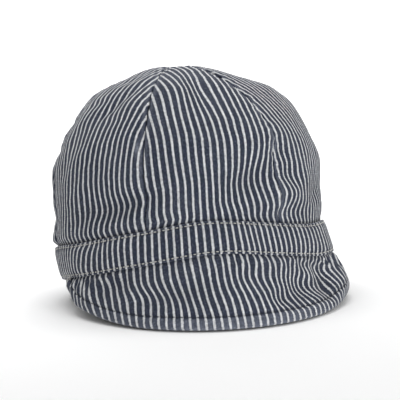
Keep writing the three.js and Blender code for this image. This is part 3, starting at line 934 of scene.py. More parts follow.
def make_peak_cloth(name, side):
    """One of the peak's two cloths: side is 1 for the upper and -1 for the under one."""
    angles = np.linspace(-90, 90, PEAK_COLUMNS + 1)
    fall = peak_fall(angles)[None, :]
    thick = peak_thickness(fall)
    turning = (1 - np.cos(np.linspace(0, math.pi / 2, PEAK_TURN_ROWS)))[:, None] * thick
    t = np.linspace(0, 1, PEAK_ROWS + 1)[1:, None]
    rest = thick + (fall - thick) * t
    to_edge = np.concatenate([turning, rest])[::-1]
    down = 1 - to_edge / fall
    angle = np.broadcast_to(angles[None, :], down.shape)
    middle, normal, to_edge, thick = peak_middle(angle, down)

    round_off = np.clip(1 - to_edge / thick, 0, 1)
    full = thick * np.sqrt(np.maximum(1 - round_off**2, 0))
    ditch = PEAK_DITCH * bell(to_edge - PEAK_STITCH_INSET, PEAK_DITCH_WIDTH)
    ditch = ditch * smooth(to_edge / PEAK_DITCH_START)
    line = np.minimum(PEAK_LINE, full)
    outer = middle + normal * (side * (full - ditch * smooth(thick)))[..., None]
    inner = middle + normal * (side * line)[..., None]
    rows, columns = to_edge.shape
    layers = [outer, inner] if side > 0 else [inner, outer]
    points = np.concatenate([layer.reshape(-1, 3) for layer in layers])
    piece = new_piece(name, points, slab_faces(rows, columns))

    flat_rim, flat_edge = peak_pattern(angles)
    flat = flat_rim[None] + (flat_edge - flat_rim)[None] * down[..., None]
    tucked = [flat_rim + np.array([0.0, up]) for up in PEAK_TUCKS]
    flat = np.concatenate([np.stack(tucked), flat])
    flat = np.stack([peak_across(flat), flat[..., 1] - 2 * PIECE_STEP], axis=-1)
    strip = STRIP_FADE_LEAST + (1 - STRIP_FADE_LEAST) * bell(angles[None, :], STRIP_FADE_SPREAD)
    strip = STRIP_FADE * strip * smooth((PEAK_STITCH_INSET - to_edge) / STRIP_FADE_EDGE)
    wear_and_shade = strip + marked(PEAK_EDGE_FADE, to_edge)
    # Painted shade in the stitch ditch and in the hollows of the folds
    wear_and_shade = wear_and_shade - marked(PEAK_DITCH_PAINTED_SHADE, to_edge)
    folded = (1 - to_edge / fall) * PEAK_FOLD_DEPTH
    wear_and_shade = wear_and_shade - fold_painted_shade(PEAK_FOLDS, angles[None, :], folded, PEAK_FOLD_RADIUS)
    corner = corners_of(piece.data)
    places = np.concatenate([flat.reshape(-1, 2)] * 2)[corner]
    lay_cloth(piece, places, np.concatenate([wear_and_shade.ravel()] * 2))
    piece.data.set_sharp_from_angle(angle=math.radians(PEAK_SHARP))
    return piece


def slab_faces(rows, columns):
    """Faces of a closed slab: an upper grid whose rows run down, then an under one."""
    under = rows * columns
    r = np.arange(rows - 1)[:, None]
    c = np.arange(columns - 1)[None, :]
    a = r * columns + c
    faces = quads_between(a, a + columns, a + 1 + columns, a + 1)
    faces += quads_between(a + under, a + 1 + under, a + 1 + columns + under, a + columns + under)
    low = np.arange(columns - 1)
    faces += quads_between(low, low + 1, low + 1 + under, low + under)
    end = low + (rows - 1) * columns
    faces += quads_between(end + under, end + 1 + under, end + 1, end)
    left = np.arange(rows - 1) * columns
    faces += quads_between(left, left + under, left + columns + under, left + columns)
    right = left + columns - 1
    faces += quads_between(right + columns, right + columns + under, right + under, right)
    return faces


# Stitching: proud is the share of its thickness by which a stitch's middle stands over the cloth
Thread = namedtuple("Thread", "length pitch thick proud")
BAND_THREAD = Thread(length=2.2, pitch=2.9, thick=0.72, proud=0.22)
PEAK_THREAD = Thread(length=1.9, pitch=2.7, thick=0.55, proud=0.3)
STITCH_SIDES = 6
STITCH_STATIONS = (-1.0, -0.82, -0.4, 0.4, 0.82, 1.0)
STITCH_SINK = 0.3
STITCH_FLATNESS = 0.8
STITCH_END = 0.04
STITCH_SKEW = 0.09
STITCH_LENGTHS = (0.88, 1.08)
BAND_STITCH_NEAR = 0.4
PEAK_STITCH_END = 78.0
PEAK_STITCH_COLUMNS = 1201
PEAK_STITCH_ROWS = 40


def stitch_template(thread):
    """Points of one stitch lying along X with Z up, and its faces."""
    rings = []
    for station in STITCH_STATIONS:
        girth = math.sqrt(max(1 - abs(station) ** 3, STITCH_END)) * thread.thick / 2
        turn = np.linspace(0, 2 * math.pi, STITCH_SIDES, endpoint=False)
        x = np.full(STITCH_SIDES, station * thread.length / 2)
        z = girth * STITCH_FLATNESS * np.sin(turn) - STITCH_SINK * station**2
        rings.append(np.stack([x, girth * np.cos(turn), z], axis=-1))
    points = np.concatenate(rings)
    faces = []
    for ring in range(len(rings) - 1):
        for i in range(STITCH_SIDES):
            k = (i + 1) % STITCH_SIDES
            a = ring * STITCH_SIDES
            faces.append([a + i, a + k, a + STITCH_SIDES + k, a + STITCH_SIDES + i])
    faces.append(list(range(STITCH_SIDES))[::-1])
    faces.append(list(range(len(points) - STITCH_SIDES, len(points))))
    return points, faces


def make_stitches(name, thread, centres, ways, outs, seed):
    """A run of stitches: each at its centre, along its way, on cloth that faces outs."""
    template, faces = stitch_template(thread)
    rng = np.random.default_rng(seed)
    ways = ways / np.linalg.norm(ways, axis=1, keepdims=True)
    outs = outs - ways * np.sum(outs * ways, axis=1, keepdims=True)
    outs = outs / np.linalg.norm(outs, axis=1, keepdims=True)
    sides = np.cross(outs, ways)
    skew = rng.uniform(-STITCH_SKEW, STITCH_SKEW, size=(len(ways), 1))
    ways = ways + sides * skew
    sides = np.cross(outs, ways)
    length = rng.uniform(*STITCH_LENGTHS, size=(len(ways), 1, 1))
    x, y, z = template[None, :, 0:1], template[None, :, 1:2], template[None, :, 2:3]
    points = centres[:, None] + ways[:, None] * x * length + sides[:, None] * y + outs[:, None] * z
    count = len(template)
    all_faces = []
    for i in range(len(ways)):
        all_faces += [[vertex + i * count for vertex in face] for face in faces]
    return new_piece(name, points.reshape(-1, 3), all_faces)


def evenly(line, pitch):
    """Parameters from 0 to 1 of places one pitch apart on a line of points."""
    length = np.concatenate([[0], np.cumsum(np.linalg.norm(np.diff(line, axis=0), axis=1))])
    count = max(int(length[-1] / pitch), 1)
    return np.interp((np.arange(count) + 0.5) / count * length[-1], length, np.linspace(0, 1, len(line)))


def make_band_stitches(name, height, seed):
    """A row of stitches round the band at a height over its lower edge."""
    def on_band(angle):
        moved, way, _ = band_surface(angle, np.full(np.shape(angle), height / BAND_HEIGHT))
        return stand(moved), stand(moved - way) - stand(moved)

    angle = np.linspace(180, 540, 1441)
    line, _ = on_band(angle)
    angle = 180 + 360 * evenly(line, BAND_THREAD.pitch)
    centres, outs = on_band(angle)
    ahead, _ = on_band(angle + BAND_STITCH_NEAR)
    behind, _ = on_band(angle - BAND_STITCH_NEAR)
    centres = centres + outs * BAND_THREAD.thick * BAND_THREAD.proud
    return make_stitches(name, BAND_THREAD, centres, ahead - behind, outs, seed)


def make_peak_stitches():
    """The row of dark stitches along the peak's edge."""
    angles = np.linspace(-PEAK_STITCH_END, PEAK_STITCH_END, PEAK_STITCH_COLUMNS)
    insets = np.array([PEAK_STITCH_INSET + 1, PEAK_STITCH_INSET, PEAK_STITCH_INSET - 1])
    down = 1 - insets[:, None] / peak_fall(angles)[None, :]
    down = np.clip(down, 0.02, 1)
    steps = np.linspace(0, 1, PEAK_STITCH_ROWS)[:, None]
    rows = np.concatenate([steps * down[:1], down[1:], 1 - (1 - down[2:]) * (1 - steps[1:])])
    middle, normal, _, thick = peak_middle(np.broadcast_to(angles[None, :], rows.shape), rows)
    at = len(PEAK_TUCKS) + len(steps)
    surface = middle + normal * (thick - PEAK_DITCH)[..., None]
    line, outs = surface[at], normal[at]
    place = evenly(line, PEAK_THREAD.pitch) * (PEAK_STITCH_COLUMNS - 1)
    near = np.clip(np.round(place).astype(int), 1, PEAK_STITCH_COLUMNS - 2)
    centres = line[near] + outs[near] * PEAK_THREAD.thick * PEAK_THREAD.proud
    ways = line[near + 1] - line[near - 1]
    return make_stitches("peak_stitching", PEAK_THREAD, centres, ways, outs[near], 3)


# Loose thread ends, where the band's lower row of stitches starts by the peak's -X end
Loose = namedtuple("Loose", "at height length lean curl")
LOOSE_THREADS = (
    Loose(-80.0, 1.2, 6.5, -0.5, 1.4),
    Loose(-79.2, 1.6, 5.0, 0.2, -1.0),
    Loose(-78.0, 0.9, 7.5, 0.7, 1.1),
    Loose(-77.2, 1.5, 4.2, -0.2, 0.8),
)
LOOSE_THICK = 0.3
LOOSE_STATIONS = 12


def make_loose_threads():
    """Short ends of thread that hang from the band's lower edge."""
    points, faces = [], []
    turn = np.linspace(0, 2 * math.pi, STITCH_SIDES, endpoint=False)
    for thread in LOOSE_THREADS:
        moved, way, _ = band_surface(np.array([thread.at]), np.array([thread.height / BAND_HEIGHT]))
        start = stand(moved)[0]
        out = (stand(moved - way) - stand(moved))[0]
        along = np.cross(out, np.array([0, 0, 1.0]))
        t = np.linspace(0, 1, LOOSE_STATIONS)[:, None]
        swing = thread.lean * t + 0.25 * np.sin(t * 3 * thread.curl)
        drop = np.array([0, 0, -1.0]) * t * 0.75
        path = start - out * 0.3 + thread.length * (drop + along * swing + out * (0.55 * t - 0.3 * t * t))
        tangent = np.gradient(path, axis=0)
        tangent /= np.linalg.norm(tangent, axis=1, keepdims=True)
        side = np.cross(tangent, out)
        side /= np.linalg.norm(side, axis=1, keepdims=True)
        other = np.cross(tangent, side)
        first = len(points) * LOOSE_STATIONS * STITCH_SIDES
        girth = LOOSE_THICK / 2
        ring = side[:, None] * np.cos(turn)[None, :, None] + other[:, None] * np.sin(turn)[None, :, None]
        points.append((path[:, None] + ring * girth).reshape(-1, 3))
        for k in range(LOOSE_STATIONS - 1):
            for i in range(STITCH_SIDES):
                a = first + k * STITCH_SIDES
                b = (i + 1) % STITCH_SIDES
                faces.append([a + i, a + b, a + STITCH_SIDES + b, a + STITCH_SIDES + i])
        faces.append([first + i for i in range(STITCH_SIDES)][::-1])
        last = first + (LOOSE_STATIONS - 1) * STITCH_SIDES
        faces.append([last + i for i in range(STITCH_SIDES)])
    return new_piece("loose_threads", np.concatenate(points), faces)


# Node helpers
def srgb(red, green, blue):
    """A colour given as it is seen, from 0 to 255, in the renderer's own values."""
    seen = np.array([red, green, blue]) / 255
    linear = np.where(seen <= 0.04045, seen / 12.92, ((seen + 0.055) / 1.055) ** 2.4)
    return tuple(float(value) for value in linear)


def feed(tree, value, socket):
    """Links a socket to an input, or sets the input's own value."""
    if isinstance(value, bpy.types.NodeSocket):
        tree.links.new(value, socket)
    else:
        socket.default_value = value


def maths(tree, operation, *values, clamp=False):
    """A maths node's result."""
    node = tree.nodes.new("ShaderNodeMath")
    node.operation = operation
    node.use_clamp = clamp
    for value, socket in zip(values, node.inputs):
        feed(tree, value, socket)
    return node.outputs[0]


def noise(tree, place, size, detail=2.0, roughness=0.5):
    """Noise of about 0.5 on average, with features of one size in metres."""
    node = tree.nodes.new("ShaderNodeTexNoise")
    node.noise_dimensions = "3D"
    feed(tree, place, node.inputs["Vector"])
    node.inputs["Scale"].default_value = 1 / size
    node.inputs["Detail"].default_value = detail
    node.inputs["Roughness"].default_value = roughness
    return node.outputs["Fac"]


def stretched(tree, place, across, along):
    """A place on the cloth scaled by two amounts."""
    node = tree.nodes.new("ShaderNodeVectorMath")
    node.operation = "MULTIPLY"
    feed(tree, place, node.inputs[0])
    node.inputs[1].default_value = (across, along, 1.0)
    return node.outputs[0]


def mixed(tree, share, first, second):
    """One colour mixed into another by a share from 0 to 1."""
    node = tree.nodes.new("ShaderNodeMix")
    node.data_type = "RGBA"
    feed(tree, share, node.inputs["Factor"])
    feed(tree, first, node.inputs["A"])
    feed(tree, second, node.inputs["B"])
    return node.outputs["Result"]


def new_group(name, inputs, outputs):
    """An empty node group with its sockets."""
    group = bpy.data.node_groups.new(name, "ShaderNodeTree")
    for label, kind, value in inputs:
        socket = group.interface.new_socket(name=label, in_out="INPUT", socket_type=kind)
        if value is not None:
            socket.default_value = value
    for label, kind in outputs:
        group.interface.new_socket(name=label, in_out="OUTPUT", socket_type=kind)
    return group, group.nodes.new("NodeGroupInput"), group.nodes.new("NodeGroupOutput")


FLOAT = "NodeSocketFloat"
VECTOR = "NodeSocketVector"
COLOUR = "NodeSocketColor"


# The woven cloth's own sizes, in metres
PITCH = 0.0048
THREAD = 0.00042
PALE_SHARE = 0.30
STRIPE_DRIFT = 0.0005
STRIPE_DRIFT_SIZE = 0.018
STRIPE_STEP = 0.00014
STRIPE_STEP_THREADS = 3.0
STRIPE_ROUGH = 0.0009
STRIPE_ROUGH_SIZE = 0.0012
STRIPE_SOFT_EDGE = 0.00022
WEAVE_SLANT = 0.62
RIDGE_HEIGHT = 0.28
CROSS_HEIGHT = 0.12
TONE_SIZE = 0.0045
FLECK_SIZE = 0.0013
FLECK_STRENGTH = 1.3
SPECKLE_SIZE = 0.0017
SPECKLE_STRENGTH = 1.4
STREAK_STRENGTH = 1.1
SHADE_LEAST = 0.45


def stripe_group():
    """Woven stripes: 1 on a pale stripe and 0 between, with edges stepped by the threads."""
    group, given, result = new_group(
        "woven stripe",
        (
            ("Cloth", VECTOR, None),
            ("Pitch", FLOAT, PITCH),
            ("White Share", FLOAT, PALE_SHARE),
            ("Thread", FLOAT, THREAD),
        ),
        (("Stripe", FLOAT),),
    )
    cloth = given.outputs["Cloth"]
    split = group.nodes.new("ShaderNodeSeparateXYZ")
    group.links.new(cloth, split.inputs[0])
    drift = maths(group, "SUBTRACT", noise(group, cloth, STRIPE_DRIFT_SIZE, 1.0), 0.5)
    wobble = maths(group, "MULTIPLY", drift, STRIPE_DRIFT)
    across = maths(group, "ADD", split.outputs["X"], wobble)
    turn = maths(group, "FRACT", maths(group, "DIVIDE", across, given.outputs["Pitch"]))
    away = maths(group, "ABSOLUTE", maths(group, "SUBTRACT", turn, 0.5))
    away = maths(group, "MULTIPLY", away, given.outputs["Pitch"])
    half = maths(group, "MULTIPLY", given.outputs["Pitch"], given.outputs["White Share"])
    half = maths(group, "MULTIPLY", half, 0.5)
    repeat = maths(group, "MULTIPLY", given.outputs["Thread"], STRIPE_STEP_THREADS)
    weft = maths(group, "DIVIDE", split.outputs["Y"], repeat)
    step = maths(group, "SINE", maths(group, "MULTIPLY", weft, 2 * math.pi))
    step = maths(group, "MULTIPLY", step, STRIPE_STEP)
    rough = maths(group, "SUBTRACT", noise(group, cloth, STRIPE_ROUGH_SIZE, 2.0), 0.5)
    rough = maths(group, "MULTIPLY", rough, STRIPE_ROUGH)
    half = maths(group, "ADD", half, maths(group, "ADD", step, rough))
    inside = maths(group, "DIVIDE", maths(group, "SUBTRACT", half, away), STRIPE_SOFT_EDGE)
    mask = maths(group, "ADD", inside, 0.5, clamp=True)
    group.links.new(mask, result.inputs["Stripe"])
    return group


def weave_group():
    """Drill weave: the height of its diagonal threads, and streaks from thread to thread."""
    group, given, result = new_group(
        "drill weave",
        (("Cloth", VECTOR, None), ("Thread", FLOAT, THREAD)),
        (("Height", FLOAT), ("Streak", FLOAT)),
    )
    cloth = given.outputs["Cloth"]
    split = group.nodes.new("ShaderNodeSeparateXYZ")
    group.links.new(cloth, split.inputs[0])
    across = maths(group, "DIVIDE", split.outputs["X"], given.outputs["Thread"])
    along = maths(group, "DIVIDE", split.outputs["Y"], given.outputs["Thread"])
    slant = maths(group, "ADD", across, maths(group, "MULTIPLY", along, WEAVE_SLANT))
    ridge = maths(group, "SINE", maths(group, "MULTIPLY", slant, math.pi))
    ridge = maths(group, "MULTIPLY", ridge, RIDGE_HEIGHT)
    cross = maths(group, "SINE", maths(group, "MULTIPLY", along, 2 * math.pi))
    cross = maths(group, "MULTIPLY", cross, CROSS_HEIGHT)
    grain = noise(group, cloth, 0.0006, 3.0, 0.6)
    height = maths(group, "ADD", maths(group, "ADD", ridge, cross), grain)
    group.links.new(height, result.inputs["Height"])
    streak = noise(group, stretched(group, cloth, 1.0, 0.06), 0.0007, 2.0, 0.6)
    weft = noise(group, stretched(group, cloth, 0.08, 1.0), 0.0008, 2.0, 0.6)
    both = maths(group, "MULTIPLY", maths(group, "ADD", streak, weft), 0.5)
    group.links.new(both, result.inputs["Streak"])
    return group


def fade_group():
    """Washed fade: how pale the dye is, from the wear of a place and patches of the cloth."""
    group, given, result = new_group(
        "washed fade",
        (("Cloth", VECTOR, None), ("Wear", FLOAT, 0.0), ("Patches", FLOAT, 0.25)),
        (("Fade", FLOAT),),
    )
    cloth = given.outputs["Cloth"]
    broad = maths(group, "SUBTRACT", noise(group, cloth, 0.03, 3.0, 0.6), 0.45)
    small = noise(group, cloth, 0.0035, 3.0, 0.65)
    fine = noise(group, cloth, 0.0009, 2.0, 0.6)
    uneven = maths(group, "ADD", maths(group, "MULTIPLY", small, 1.4), 0.25)
    broken = maths(group, "MULTIPLY", given.outputs["Wear"], uneven)
    broken = maths(group, "MULTIPLY", broken, maths(group, "ADD", fine, 0.45))
    patches = maths(group, "MULTIPLY", broad, given.outputs["Patches"])
    fade = maths(group, "ADD", broken, patches, clamp=True)
    group.links.new(fade, result.inputs["Fade"])
    return group


def dye_group():
    """Dyed threads: two tones of dye in patches, with pale flecks, faded by a share."""
    group, given, result = new_group(
        "dyed threads",
        (
            ("Cloth", VECTOR, None),
            ("Fade", FLOAT, 0.0),
            ("Navy", COLOUR, None),
            ("Green Navy", COLOUR, None),
            ("Faded Navy", COLOUR, None),
        ),
        (("Colour", COLOUR),),
    )
    cloth = given.outputs["Cloth"]
    tone = noise(group, cloth, TONE_SIZE, 2.0, 0.6)
    dyed = mixed(group, tone, given.outputs["Navy"], given.outputs["Green Navy"])
    fleck = maths(group, "SUBTRACT", noise(group, cloth, FLECK_SIZE, 2.0, 0.6), 0.5)
    fleck = maths(group, "MULTIPLY", maths(group, "MAXIMUM", fleck, 0.0), FLECK_STRENGTH)
    pale = maths(group, "MINIMUM", maths(group, "ADD", given.outputs["Fade"], fleck), 1.0)
    colour = mixed(group, pale, dyed, given.outputs["Faded Navy"])
    group.links.new(colour, result.inputs["Colour"])
    return group


def shade_group():
    """Shade: how light each place is, from streaks, speckles and the painted shade in ditches, seams and
    folds.
    """
    group, given, result = new_group(
        "thread shade",
        (("Cloth", VECTOR, None), ("Streak", FLOAT, 0.5), ("Wear", FLOAT, 0.0)),
        (("Shade", FLOAT),),
    )
    # Painted shade: where the attribute is below 0 the cloth is darkened
    painted_shade = maths(group, "ADD", maths(group, "MINIMUM", given.outputs["Wear"], 0.0), 1.0)
    speckle = maths(group, "SUBTRACT", noise(group, given.outputs["Cloth"], SPECKLE_SIZE, 2.0, 0.7), 0.5)
    speckle = maths(group, "ADD", maths(group, "MULTIPLY", speckle, SPECKLE_STRENGTH), SHADE_LEAST)
    streak = maths(group, "MULTIPLY", given.outputs["Streak"], STREAK_STRENGTH)
    shade = maths(group, "MULTIPLY", maths(group, "ADD", streak, speckle), painted_shade)
    group.links.new(shade, result.inputs["Shade"])
    return group


def ply_group():
    """Twisted thread: its slubs, and the fine relief of its plies."""
    group, given, result = new_group(
        "twisted thread", (("Place", VECTOR, None),), (("Slub", FLOAT), ("Height", FLOAT)),
    )
    group.links.new(noise(group, given.outputs["Place"], 0.0012, 3.0, 0.6), result.inputs["Slub"])
    group.links.new(noise(group, given.outputs["Place"], 0.0003, 2.0, 0.6), result.inputs["Height"])
    return group


def placed_group(tree, group, **values):
    """A group placed in a material, with values for its inputs."""
    node = tree.nodes.new("ShaderNodeGroup")
    node.node_tree = group
    for label, value in values.items():
        feed(tree, value, node.inputs[label.replace("_", " ")])
    return node


def shared_group(name, make):
    """A node group, made the first time that it is asked for."""
    return bpy.data.node_groups.get(name) or make()


def add_relief(tree, shader, height, strength, distance):
    """Gives a shader its fine relief from a height."""
    relief = tree.nodes.new("ShaderNodeBump")
    relief.inputs["Strength"].default_value = strength
    relief.inputs["Distance"].default_value = distance
    tree.links.new(height, relief.inputs["Height"])
    tree.links.new(relief.outputs[0], shader.inputs["Normal"])


def striped_cloth(name, settings, patches, bump):
    """Striped cotton drill, washed and worn."""
    material = bpy.data.materials.new(name)
    material.use_nodes = True
    tree = material.node_tree
    shader = tree.nodes["Principled BSDF"]
    uv = tree.nodes.new("ShaderNodeUVMap")
    uv.uv_map = "cloth"
    cloth = uv.outputs["UV"]
    # The attribute holds fading above 0 and painted shade below 0
    wear_and_shade = tree.nodes.new("ShaderNodeAttribute")
    wear_and_shade.attribute_name = "wear_and_shade"
    stripe = placed_group(
        tree, shared_group("woven stripe", stripe_group), Cloth=cloth, Pitch=settings.stripe_pitch,
        White_Share=settings.white_share, Thread=settings.thread_width,
    )
    weave = placed_group(
        tree, shared_group("drill weave", weave_group), Cloth=cloth, Thread=settings.thread_width,
    )
    fade = placed_group(
        tree, shared_group("washed fade", fade_group),
        Cloth=cloth, Wear=wear_and_shade.outputs["Fac"], Patches=patches,
    )
    navy = placed_group(
        tree, shared_group("dyed threads", dye_group), Cloth=cloth, Fade=fade.outputs["Fade"],
        Navy=(*settings.navy, 1), Green_Navy=(*settings.green_navy, 1), Faded_Navy=(*settings.faded_navy, 1),
    )
    streak = weave.outputs["Streak"]
    shade = placed_group(
        tree, shared_group("thread shade", shade_group),
        Cloth=cloth, Streak=streak, Wear=wear_and_shade.outputs["Fac"],
    )
    pale = mixed(tree, streak, (*settings.grey_white, 1), (*settings.white, 1))
    colour = mixed(tree, stripe.outputs["Stripe"], navy.outputs["Colour"], pale)
    tint = tree.nodes.new("ShaderNodeVectorMath")
    tint.operation = "SCALE"
    tree.links.new(colour, tint.inputs[0])
    tree.links.new(shade.outputs["Shade"], tint.inputs["Scale"])
    tree.links.new(tint.outputs[0], shader.inputs["Base Color"])
    raised = maths(tree, "MULTIPLY", stripe.outputs["Stripe"], 0.35)
    raised = maths(tree, "ADD", weave.outputs["Height"], raised)
    add_relief(tree, shader, raised, bump, 0.00025)
    rough = maths(tree, "ADD", maths(tree, "MULTIPLY", fade.outputs["Fade"], 0.06), 0.88)
    tree.links.new(rough, shader.inputs["Roughness"])
    shader.inputs["Specular IOR Level"].default_value = 0.25
    shader.inputs["Sheen Weight"].default_value = 0.02
    shader.inputs["Sheen Roughness"].default_value = 0.5
    return material


def sewing_thread(name, colour):
    """Twisted cotton thread."""
    material = bpy.data.materials.new(name)
    material.use_nodes = True
    tree = material.node_tree
    shader = tree.nodes["Principled BSDF"]
    place = tree.nodes.new("ShaderNodeTexCoord")
    twist = placed_group(tree, shared_group("twisted thread", ply_group), Place=place.outputs["Object"])
    dull = tuple(value * 0.62 for value in colour)
    dyed = mixed(tree, twist.outputs["Slub"], (*dull, 1), (*colour, 1))
    tree.links.new(dyed, shader.inputs["Base Color"])
    add_relief(tree, shader, twist.outputs["Height"], 0.5, 0.0001)
    shader.inputs["Roughness"].default_value = 0.85
    shader.inputs["Specular IOR Level"].default_value = 0.3
    return material


def plain_finish(name, colour, roughness):
    """Matt finish of the floor, which is seen from its upper side alone."""
    material = bpy.data.materials.new(name)
    material.use_nodes = True
    shader = material.node_tree.nodes["Principled BSDF"]
    shader.inputs["Base Color"].default_value = (*colour, 1)
    shader.inputs["Roughness"].default_value = roughness
    shader.inputs["Specular IOR Level"].default_value = 0.1
    tree = material.node_tree
    side = tree.nodes.new("ShaderNodeNewGeometry")
    clear = tree.nodes.new("ShaderNodeBsdfTransparent")
    mix = tree.nodes.new("ShaderNodeMixShader")
    tree.links.new(side.outputs["Backfacing"], mix.inputs["Fac"])
    tree.links.new(shader.outputs["BSDF"], mix.inputs[1])
    tree.links.new(clear.outputs["BSDF"], mix.inputs[2])
    tree.links.new(mix.outputs["Shader"], tree.nodes["Material Output"].inputs["Surface"])
    return material


def finish(piece, material, slot, *nodes):
    """Gives a piece its material and its place in the model."""
    piece.data.materials.append(material)
    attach(piece, BODY)
    if nodes:
        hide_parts(*nodes)


# Settings that a user would change
class CapClothSettings(bpy.types.PropertyGroup):
    """Striped cloth of the cap."""

    stripe_pitch: bpy.props.FloatProperty(
        name="Stripe pitch", description="Distance from one pale stripe to the next",
        default=PITCH, min=0.001, max=0.02, precision=5, unit="LENGTH",
    )
    white_share: bpy.props.FloatProperty(
        name="Pale share", description="Part of the pitch that is pale",
        default=PALE_SHARE, min=0.05, max=0.95, subtype="FACTOR",
    )
    thread_width: bpy.props.FloatProperty(
        name="Thread width", description="Distance between the threads of the weave",
        default=THREAD, min=0.0001, max=0.002, precision=5, unit="LENGTH",
    )
    navy: bpy.props.FloatVectorProperty(
        name="Navy", description="Colour of the dyed threads", subtype="COLOR", size=3, min=0, max=1,
        default=srgb(41, 43, 64),
    )
    green_navy: bpy.props.FloatVectorProperty(
        name="Green navy", description="Colour of the dyed threads where the dye has turned",
        subtype="COLOR", size=3, min=0, max=1, default=srgb(37, 46, 56),
    )
    faded_navy: bpy.props.FloatVectorProperty(
        name="Faded navy", description="Colour of the dyed threads where they are worn", subtype="COLOR",
        size=3, min=0, max=1, default=srgb(112, 117, 129),
    )
    white: bpy.props.FloatVectorProperty(
        name="White", description="Colour of the pale threads", subtype="COLOR", size=3, min=0, max=1,
        default=srgb(212, 213, 213),
    )
    grey_white: bpy.props.FloatVectorProperty(
        name="Grey white", description="Colour of the pale threads in their hollows", subtype="COLOR",
        size=3, min=0, max=1, default=srgb(172, 174, 178),
    )


class CapThreadSettings(bpy.types.PropertyGroup):
    """Sewing threads of the cap."""

    pale: bpy.props.FloatVectorProperty(
        name="Pale thread", description="Colour of the band's stitches",
        subtype="COLOR", size=3, min=0, max=1, default=srgb(205, 204, 200),
    )
    dark: bpy.props.FloatVectorProperty(
        name="Dark thread", description="Colour of the peak's stitches",
        subtype="COLOR", size=3, min=0, max=1, default=srgb(30, 34, 46),
    )


class CapStageSettings(bpy.types.PropertyGroup):
    """Floor, lights and camera."""

    floor: bpy.props.FloatVectorProperty(
        name="Floor", description="Colour of the floor", subtype="COLOR", size=3, min=0, max=1,
        default=(0.94, 0.94, 0.94),
    )
    key_power: bpy.props.FloatProperty(
        name="Key light", description="Power of the soft light beside the camera",
        default=15.0, min=0, unit="POWER",
    )
    paper_power: bpy.props.FloatProperty(
        name="Paper light", description="Power of the soft light on the paper behind the cap",
        default=16.0, min=0, unit="POWER",
    )
    sky: bpy.props.FloatProperty(
        name="Sky", description="Strength of the even light from all round", default=0.55, min=0,
    )


# Operators
class CAP_OT_gores(bpy.types.Operator):
    """Make the crown's six gores"""

    bl_idname = "cap.gores"
    bl_label = "Gores"

    def execute(self, context):
        material = striped_cloth("crown cloth", context.scene.cap_cloth, patches=0.35, bump=0.5)
        for index, name in enumerate(GORE_NAMES):
            finish(make_gore(index), material, "crown_cloth", f"crown_gore_{name}")
        return {"FINISHED"}


class CAP_OT_band(bpy.types.Operator):
    """Make the sewn band"""

    bl_idname = "cap.band"
    bl_label = "Band"

    def execute(self, context):
        material = striped_cloth("band cloth", context.scene.cap_cloth, patches=0.25, bump=0.5)
        finish(make_band(), material, "band_cloth", "band")
        return {"FINISHED"}


class CAP_OT_peak(bpy.types.Operator):
    """Make the two cloths of the peak"""

    bl_idname = "cap.peak"
    bl_label = "Peak"

    def execute(self, context):
        material = striped_cloth("peak cloth", context.scene.cap_cloth, patches=0.35, bump=0.5)
        finish(make_peak_cloth("peak_upper_cloth", 1), material, "peak_cloth", "peak_top")
        finish(make_peak_cloth("peak_under_cloth", -1), material, "peak_cloth", "peak_under")
        return {"FINISHED"}


class CAP_OT_stitching(bpy.types.Operator):
    """Make the rows of stitches and the loose thread ends"""

    bl_idname = "cap.stitching"
    bl_label = "Stitching"

    def execute(self, context):
        threads = context.scene.cap_threads
        pale = sewing_thread("pale thread", tuple(threads.pale))
        dark = sewing_thread("dark thread", tuple(threads.dark))
        upper = BAND_HEIGHT - STITCH_INSET
        finish(make_band_stitches("band_stitching_upper", upper, 1), pale, "band_cloth")
        finish(make_band_stitches("band_stitching_lower", STITCH_INSET, 2), pale, "band_cloth")
        finish(make_peak_stitches(), dark, "peak_cloth")
        finish(make_loose_threads(), pale, "band_cloth")
        return {"FINISHED"}


# The photograph's viewpoint, in millimetres and degrees
VIEW_AIM = np.array([-2.29, 0.73, 85.0])
VIEW_AZIMUTH = -10.0
VIEW_ELEVATION = 7.4
VIEW_ROLL = -2.6
VIEW_DISTANCE = 1600.0
VIEW_ASIDE = 5.2
VIEW_BELOW = 18.7
LENS = 218.9
SENSOR = 36.0

# Floor and lights, in metres
Lamp = namedtuple("Lamp", "place target size")
KEY_LAMP = Lamp(place=(0.45, -1.5, 0.5), target=(0, 0, 0.06), size=1.1)
PAPER_LAMP = Lamp(place=(0, 0.45, 1.1), target=(0, 1.3, 0.25), size=0.9)
FLOOR_HALF = 0.9
FLOOR_BACK = 1.3
SWEEP_RADIUS = 0.5
SWEEP_HEIGHT = 1.6


def view_axes():
    """Right, up and backward directions of a camera that is turned, raised and rolled."""
    turn, raised, roll = (math.radians(value) for value in (VIEW_AZIMUTH, VIEW_ELEVATION, VIEW_ROLL))
    level = math.cos(raised)
    back = np.array([math.sin(turn) * level, -math.cos(turn) * level, math.sin(raised)])
    right = np.array([math.cos(turn), math.sin(turn), 0.0])
    up = np.cross(back, right)
    rolled_right = right * math.cos(roll) + up * math.sin(roll)
    rolled_up = up * math.cos(roll) - right * math.sin(roll)
    return rolled_right, rolled_up, back


